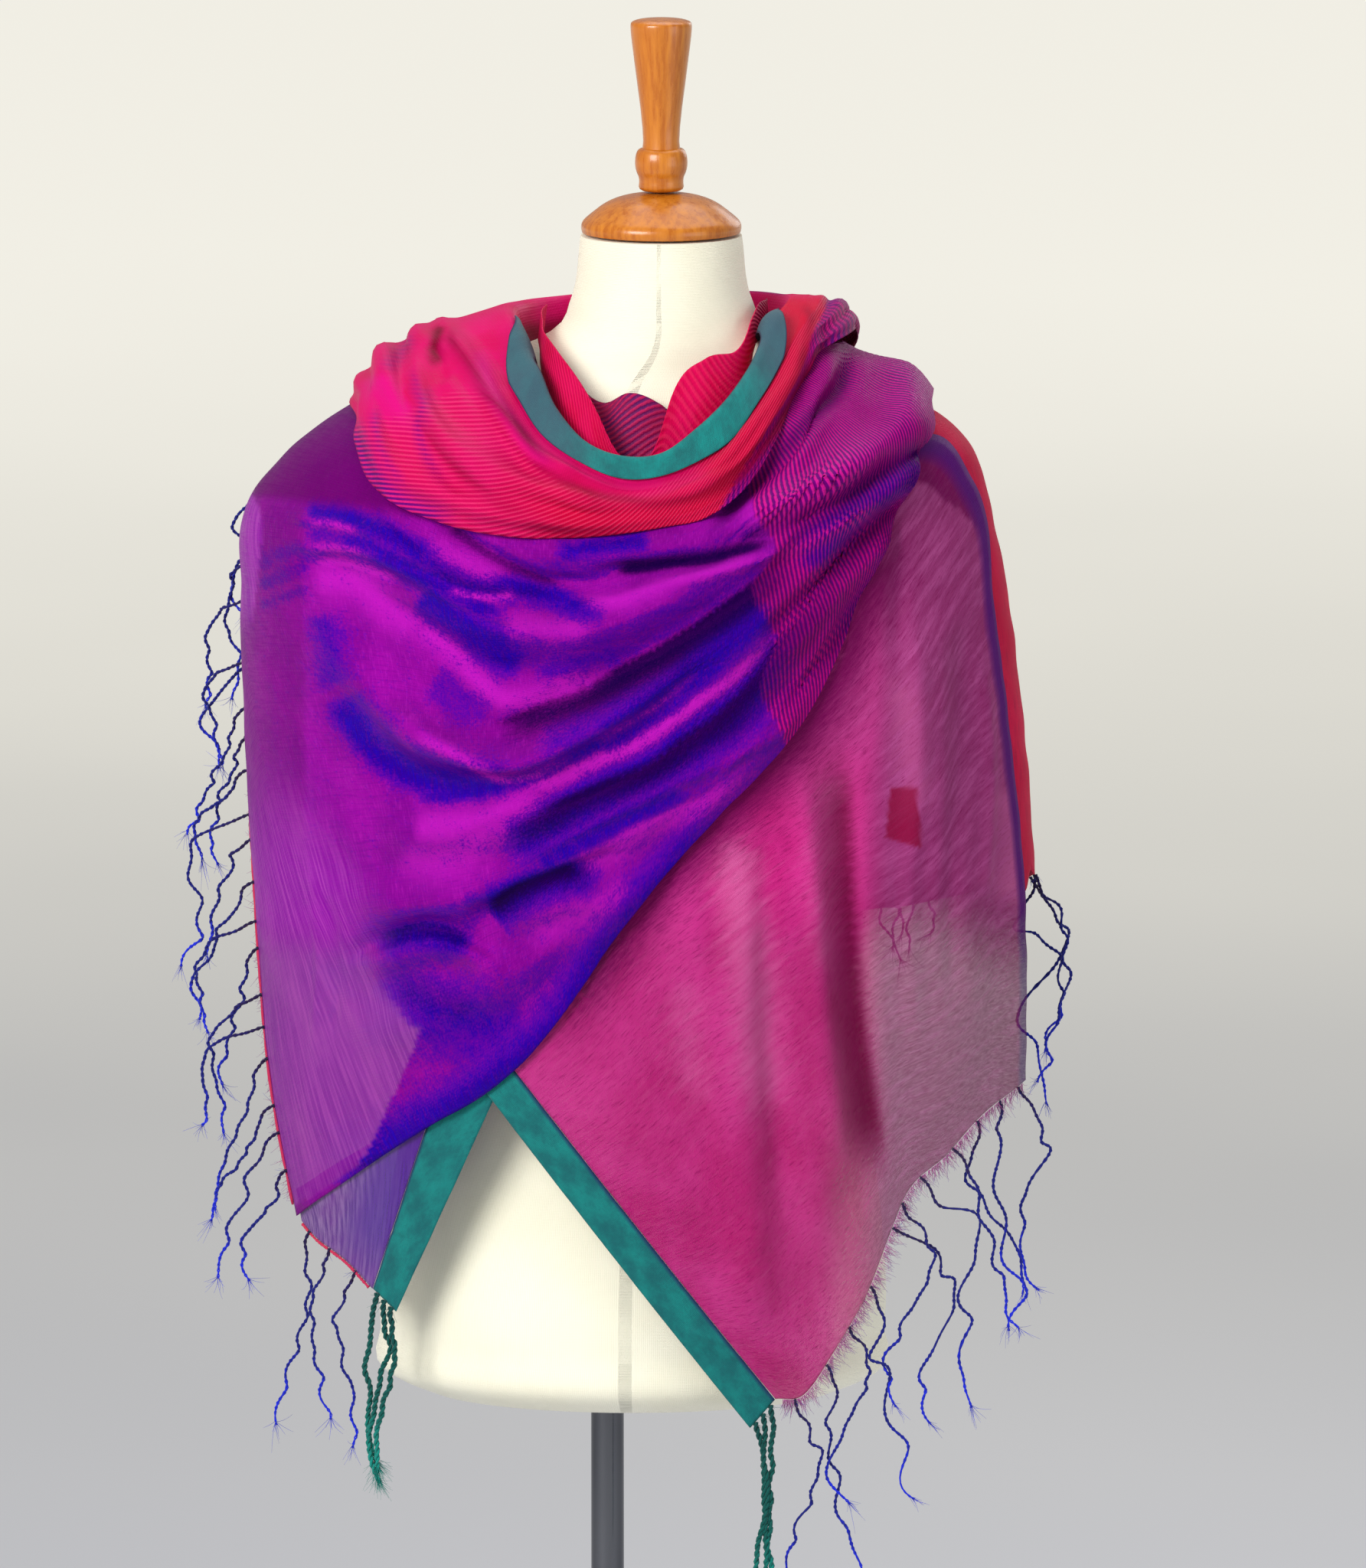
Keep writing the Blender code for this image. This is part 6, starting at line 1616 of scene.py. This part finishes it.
def strands(fringe):
    """The loose strands of a fringe, their lengths, reaches and headings taken in turn."""
    sizes = zip(fringe.places, cycle(fringe.lengths), cycle(fringe.reaches), cycle(fringe.headings))
    return [Strand(*size) for size in sizes]


def edge_frame(surface, edge, at):
    """A point on a cloth's edge, and the directions away from it and off the cloth's face."""
    cell = int(numpy.clip(numpy.searchsorted(EDGE_KNOTS, at, side="right") - 1, 0, len(EDGE_KNOTS) - 2))
    start = EDGE_KNOTS[cell]
    end = EDGE_KNOTS[cell + 1]
    before = surface(*edge(start))
    after = surface(*edge(end))
    point = mix(before, after, (at - start) / (end - start))
    along = unit(after - before)
    away = surface(*edge(at)) - surface(*edge(at, inside=True))
    away = unit(away - along * numpy.dot(away, along))
    normal = numpy.cross(along, away)
    if normal[0] * (point[0] - NECK_X) + normal[1] * point[1] < 0.0:
        normal = -normal
    return point, away, normal


def strand_path(strand, root, away, normal, wild, draw):
    """A loose strand: away from the cloth, out and down under its weight, with slow bends and kinks."""
    share = numpy.linspace(0.0, 1.0, STRAND_POINTS + 1)[:, None]
    heading = math.radians(strand.heading)
    out = unit(normal * (1.0, 1.0, 0.0))
    around = numpy.cross((0.0, 0.0, 1.0), out)
    swing = (out * math.cos(heading) + around * math.sin(heading)) * strand.reach
    spread = 1.0 - (1.0 - numpy.minimum(share / 0.7, 1.0)) ** 2
    sway = around * math.cos(heading) - out * math.sin(heading)
    curl = STRAND_CURL * strand.length * numpy.sin(5.5 * share) * share
    drop = strand.length * share ** 1.25 * (0.0, 0.0, 1.0)
    path = root + away * 0.004 * numpy.minimum(4.0 * share, 1.0) + swing * spread + sway * curl - drop
    side = unit(numpy.cross(path[-1] - path[0], (0.0, 1.0, 0.0)))
    bend = wild * strand.length * draw.uniform(0.05, 0.13) * draw.choice((-1.0, 1.0))
    path += side * bend * numpy.sin(draw.uniform(3.6, 6.6) * share) * ease(3.0 * share)
    for _ in range(4):
        rate = draw.uniform(12.0, 48.0)
        shift = draw.uniform(0.0, 6.28)
        size = wild * draw.uniform(0.010, 0.040) * strand.length * 12.0 / rate * ease(4.0 * share)
        path += size * numpy.sin(rate * share + shift) * side
        path += size * numpy.sin(rate * 0.9 * share + shift + 1.5) * (0.0, 0.0, 0.7)
        path += size * numpy.sin(rate * 0.8 * share + shift + 1.3) * (0.0, 0.4, 0.0)
    return path


def twisted(soup, path, thread):
    """A thread of two plies wound around its path."""
    steps = numpy.linalg.norm(numpy.diff(path, axis=0), axis=-1)
    length = numpy.concatenate(([0.0], numpy.cumsum(steps)))
    forward = unit(numpy.gradient(path, axis=0))
    first = unit(numpy.cross(forward, (0.2, 0.95, 0.1)))
    second = numpy.cross(forward, first)
    thick = 0.56 * thread.radius * numpy.clip(1.15 - 0.5 * (length / length[-1]) ** 6, 0.2, 1.0)
    for start in (0.0, 0.5):
        turn = 2.0 * math.pi * (length / thread.pitch + start)[:, None]
        offset = first * numpy.cos(turn) + second * numpy.sin(turn)
        soup.tube(path + offset * 0.5 * thread.radius, thick, 5)


def hairs(soup, tip, direction, count, length, draw, start):
    """Fine loose hairs that spread from a place on a strand."""
    share = numpy.linspace(0.0, 1.0, 5)
    for _ in range(count):
        aim = unit(unit(direction) + draw.normal(0.0, 0.35, 3))
        bend = draw.normal(0.0, 0.25, 3)
        reach = length * draw.uniform(0.4, 1.0)
        path = tip + reach * (aim * share[:, None] + bend * share[:, None] ** 2)
        soup.tube(path, HAIR * mix(1.0, 0.35, share), 3, start, 1.0)


def add_fringe(fringe, surface, edge, thread, seed):
    """The loose strands of one fringe, with hairs at their roots and tufts at their ends."""
    draw = numpy.random.default_rng(seed)
    soup = Soup()
    for strand in strands(fringe):
        point, away, normal = edge_frame(surface, edge, strand.at)
        root = point + away * SEAM
        path = strand_path(strand, root, away, normal, thread.wild, draw)
        twisted(soup, path, thread)
        hairs(soup, path[-2], path[-1] - path[-3], thread.tuft, TUFT_LENGTH, draw, 0.8)
        hairs(soup, root, away, ROOT_HAIRS, ROOT_HAIR_LENGTH, draw, 0.3)
    return soup


def heading(surface, edge, start, end, width, seed):
    """A narrow heading along a cloth's fringed edge."""
    soup = Soup()
    frames = [edge_frame(surface, edge, at) for at in numpy.linspace(start, end, HEADING_POINTS)]
    path = [point + away * (SEAM + width / 2) for point, away, _ in frames]
    draw = numpy.random.default_rng(seed)
    radii = width / 2 * (1.0 + 0.18 * draw.standard_normal(HEADING_POINTS).clip(-2.0, 2.0))
    soup.tube(path, radii, 6, 0.0, 0.4)
    return soup


def edge_hairs(surface, edge, start, end, count, length, seed):
    """The short loose hairs of a cut edge."""
    draw = numpy.random.default_rng(seed)
    soup = Soup()
    share = numpy.linspace(0.0, 1.0, 4)
    stations = numpy.linspace(start, end, HEADING_POINTS)
    frames = numpy.array([edge_frame(surface, edge, at)[:2] for at in stations])
    for spot in draw.uniform(0.0, HEADING_POINTS - 1.001, count):
        cell = int(spot)
        point, away = mix(frames[cell], frames[cell + 1], spot - cell)
        aim = unit(away + draw.normal(0.0, 0.35, 3) + (0.0, 0.0, -0.4))
        reach = length * draw.uniform(0.3, 1.0)
        bend = draw.normal(0.0, 0.2, 3)
        path = point + away * SEAM + reach * (aim * share[:, None] + bend * share[:, None] ** 2)
        soup.tube(path, HAIR * mix(1.0, 0.4, share), 3, 0.2, 0.9)
    return soup


def add_fringes():
    """The loose strands, the headings and the hairs, each along the edge of its cloth."""
    wrap = folded(wrap_base, WRAP_RIDGES)
    panel = folded(panel_base, PANEL_RIDGES)
    flap = folded(FLAP, PANEL_RIDGES)
    navy = thread_look("navy_thread", srgb(34, 18, 62), srgb(16, 24, 118), srgb(20, 40, 215))
    teal = thread_look("teal_thread", srgb(0, 66, 64), srgb(0, 82, 76), srgb(10, 140, 128))
    wine = thread_look("wine_thread", srgb(120, 10, 50), srgb(90, 8, 50), srgb(70, 10, 60))
    salmon = thread_look("salmon_thread", srgb(196, 48, 80), srgb(190, 40, 84), srgb(196, 60, 96))
    haze = thread_look("mauve_hair", srgb(190, 110, 170), srgb(170, 90, 150), srgb(120, 90, 190))
    made = {}
    for name, fringe, surface, edge, thread, material, slot, seed in (
            ("fringe_left", FRINGE_LEFT, wrap, left_edge, LOOSE, navy, "thread_navy", 21),
            ("fringe_low", FRINGE_LOW, under_base, low_edge, LOOSE, navy, "thread_navy", 22),
            ("tassel_left", TASSEL_LEFT, LEFT_STRIP, low_edge, BRAIDED, teal, "border_teal", 23),
            ("fringe_right", FRINGE_RIGHT, panel, low_edge, LOOSE, navy, "thread_navy", 24),
            ("tassel_right", TASSEL_RIGHT, RIGHT_STRIP, low_edge, BRAIDED, teal, "border_teal", 25),
            ("fringe_back", FRINGE_BACK, back_base, low_edge, LOOSE, navy, "thread_navy", 26),
            ("fringe_flap", FRINGE_FLAP, flap, low_edge, FINE, wine, "thread_navy", 27)):
        made[name] = add_fringe(fringe, surface, edge, thread, seed).place(name, material, slot)
    for name, soup, material in (
            ("heading_left", heading(wrap, left_edge, 0.015, 0.985, 0.0020, 12), salmon),
            ("heading_low", heading(under_base, low_edge, 0.03, 0.97, 0.0019, 11), salmon),
            ("hair_left", edge_hairs(wrap, left_edge, 0.02, 0.98, 700, 0.009, 31), haze),
            ("hair_right", edge_hairs(panel, low_edge, 0.03, 0.99, 1100, 0.012, 32), haze)):
        made[name] = soup.place(name, material)
    return made


# The dress form

def ring_mesh(name, rings, sides, rows):
    """A smooth body on the rings, with a flat bottom and a flat top and close rows near its bottom."""
    even = numpy.linspace(rings[0].height, rings[-1].height, rows + 1)
    close = rings[0].height + numpy.array((0.0015, 0.004, 0.0075))
    heights = numpy.unique(numpy.concatenate((even, close)))
    turn, height = numpy.meshgrid(numpy.linspace(0.0, 2.0 * math.pi, sides, endpoint=False), heights)
    points = on_ring(rings, turn, height, 0.0).reshape(-1, 3)
    mesh = new_mesh(name, points.tolist(), tube_faces(0, len(heights), sides), 60)
    add_uv(mesh, numpy.stack((turn * 0.15, height), axis=-1).reshape(-1, 2))
    return mesh


def turned_mesh(name, profile, centre, sides, rounding=2):
    """A turned piece from a profile of radius and height, its corners rounded by splitting them."""
    outline = numpy.array(profile)
    for _ in range(rounding):
        before = outline[:-1]
        after = outline[1:]
        split = numpy.stack((mix(before, after, 0.25), mix(before, after, 0.75)), axis=1).reshape(-1, 2)
        outline = numpy.concatenate((outline[:1], split, outline[-1:]))
    turns = numpy.linspace(0.0, 2.0 * math.pi, sides, endpoint=False)
    radius = outline[1:-1, 0, None]
    rings = stack(radius * numpy.cos(turns), radius * numpy.sin(turns), outline[1:-1, 1, None]).reshape(-1, 3)
    ends = ((0.0, 0.0, outline[0, 1]), (0.0, 0.0, outline[-1, 1]))
    points = numpy.concatenate((ends[:1], rings, ends[1:])) + centre
    last = len(points) - 1
    foot = last - sides
    faces = []
    for side in range(sides):
        after = (side + 1) % sides
        faces.append((0, 1 + side, 1 + after))
        for top in range(1, foot, sides):
            low = top + sides
            faces.append((top + side, low + side, low + after, top + after))
        faces.append((last, foot + after, foot + side))
    return new_mesh(name, points.tolist(), faces, 50)


def add_form():
    wood = wood_look()
    for name, mesh, material, slot in (
            ("form_torso", ring_mesh("form_torso", TORSO, 120, 120), jersey_look(), "form_cream"),
            ("form_cap", turned_mesh("form_cap", CAP, (NECK_X, 0.0, CAP_SEAT), 96), wood, "wood_honey"),
            ("form_finial", turned_mesh("form_finial", FINIAL, (NECK_X, 0.0, FINIAL_SEAT), 72), wood,
             "wood_honey"),
            ("form_base", turned_mesh("form_base", BASE, (0.0, 0.0, 0.0), 128), black_look(), "base_black"),
            ("form_pole", turned_mesh("form_pole", POLE, (0.0, 0.0, 0.0), 64, 0), chrome_look(), "chrome")):
        place(name, mesh, material, slot)


# Surroundings

def add_floor():
    """A wide pale floor that glows with painted light: greyer near the form, and warmer and brighter far from
    it.
    """
    look = Look("pale_floor", Roughness=0.9, Specular_IOR_Level=0.0)
    distance = look.node("ShaderNodeVectorMath", {0: look.space()}, operation="LENGTH").outputs["Value"]
    far = look.stir(distance, look.noise(look.space(), 0.25), 3.0)
    painted_light_tone = look.tint(far, 0.5, 8.0, srgb(204, 205, 210), srgb(240, 237, 226))
    look.set("Base Color", painted_light_tone)
    # Painted light: the floor glows in its own tone, more strongly far from the form
    look.set("Emission Color", painted_light_tone)
    look.set("Emission Strength", look.fit(far, 0.5, 12.0, 0.10, 0.66))
    bpy.ops.mesh.primitive_circle_add(vertices=96, radius=FLOOR_RADIUS, fill_type="NGON", location=(0, 0, 0))
    floor = bpy.context.object
    floor.name = "floor"
    floor.data.materials.append(look.material)


def add_light(name, spot, aim_height, size, power, colour):
    """A square area light that faces a height above the form's foot."""
    data = bpy.data.lights.new(name, "AREA")
    data.shape = "RECTANGLE"
    data.size = size
    data.size_y = size
    data.energy = power
    data.color = colour
    lamp = bpy.data.objects.new(name, data)
    lamp.location = spot
    lamp.rotation_euler = (Vector((0.0, 0.0, aim_height)) - Vector(spot)).to_track_quat("-Z", "Y").to_euler()
    bpy.context.scene.collection.objects.link(lamp)


def add_studio():
    add_floor()
    add_light("key", (-1.7, -2.4, 2.7), 1.1, 1.5, 105.0, (1.0, 0.98, 0.95))
    add_light("fill", (2.4, -2.2, 1.6), 1.1, 2.0, 20.0, (0.95, 0.97, 1.0))
    add_light("top", (0.3, 0.6, 3.4), 1.2, 2.2, 26.0, (1.0, 1.0, 1.0))
    add_light("rim", (1.6, 2.6, 2.2), 1.1, 1.4, 12.0, (1.0, 1.0, 1.0))
    world = bpy.data.worlds.new("studio")
    world.use_nodes = True
    world.node_tree.nodes["Background"].inputs["Color"].default_value = (0.86, 0.87, 0.9, 1.0)
    world.node_tree.nodes["Background"].inputs["Strength"].default_value = 0.40
    bpy.context.scene.world = world
    bpy.context.scene.view_settings.view_transform = "Standard"


def add_camera():
    data = bpy.data.cameras.new("camera")
    data.sensor_width = SENSOR
    data.lens = SENSOR * (CAMERA_DISTANCE - FRONT_DEPTH) / FRAME_HEIGHT
    data.clip_end = 100.0
    camera = bpy.data.objects.new("camera", data)
    back = Vector((0.0, -math.cos(SEEN_TILT), math.sin(SEEN_TILT)))
    camera.location = Vector(VIEW_CENTRE) + back * CAMERA_DISTANCE
    camera.rotation_euler = (-back).to_track_quat("-Z", "Y").to_euler()
    bpy.context.scene.collection.objects.link(camera)
    bpy.context.scene.camera = camera


# Each sheet of cloth: how it is held, what it rests on, and the threads that are part of it
SHEETS = (
    ("wrap_front", "draped", ["form_torso"], ("fringe_left", "heading_left", "hair_left")),
    ("wrap_under", "hung", ["form_torso"], ("fringe_low", "heading_low")),
    ("border_left", "hung", [], ("tassel_left",)),
    ("panel_right", "draped", ["form_torso"], ("fringe_right", "hair_right")),
    ("border_right", "hung", [], ("tassel_right",)),
    ("back_panel", "draped", ["form_torso"], ("fringe_back",)),
    ("back_flap", "hung", [], ("fringe_flap",)),
    ("cowl_outer", "gathered", ["form_torso"], ()),
    ("cowl_border", "gathered", ["cowl_outer"], ()),
    ("cowl_inner", "gathered", ["form_torso"], ()),
    ("neck_inner", "gathered", ["form_torso"], ()),
)


made, sizes = add_cloths()
made.update(add_fringes())
add_form()
for name, held, rests, threads in SHEETS:
    [made[thread] for thread in threads]
    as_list(rests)
add_studio()
add_camera()
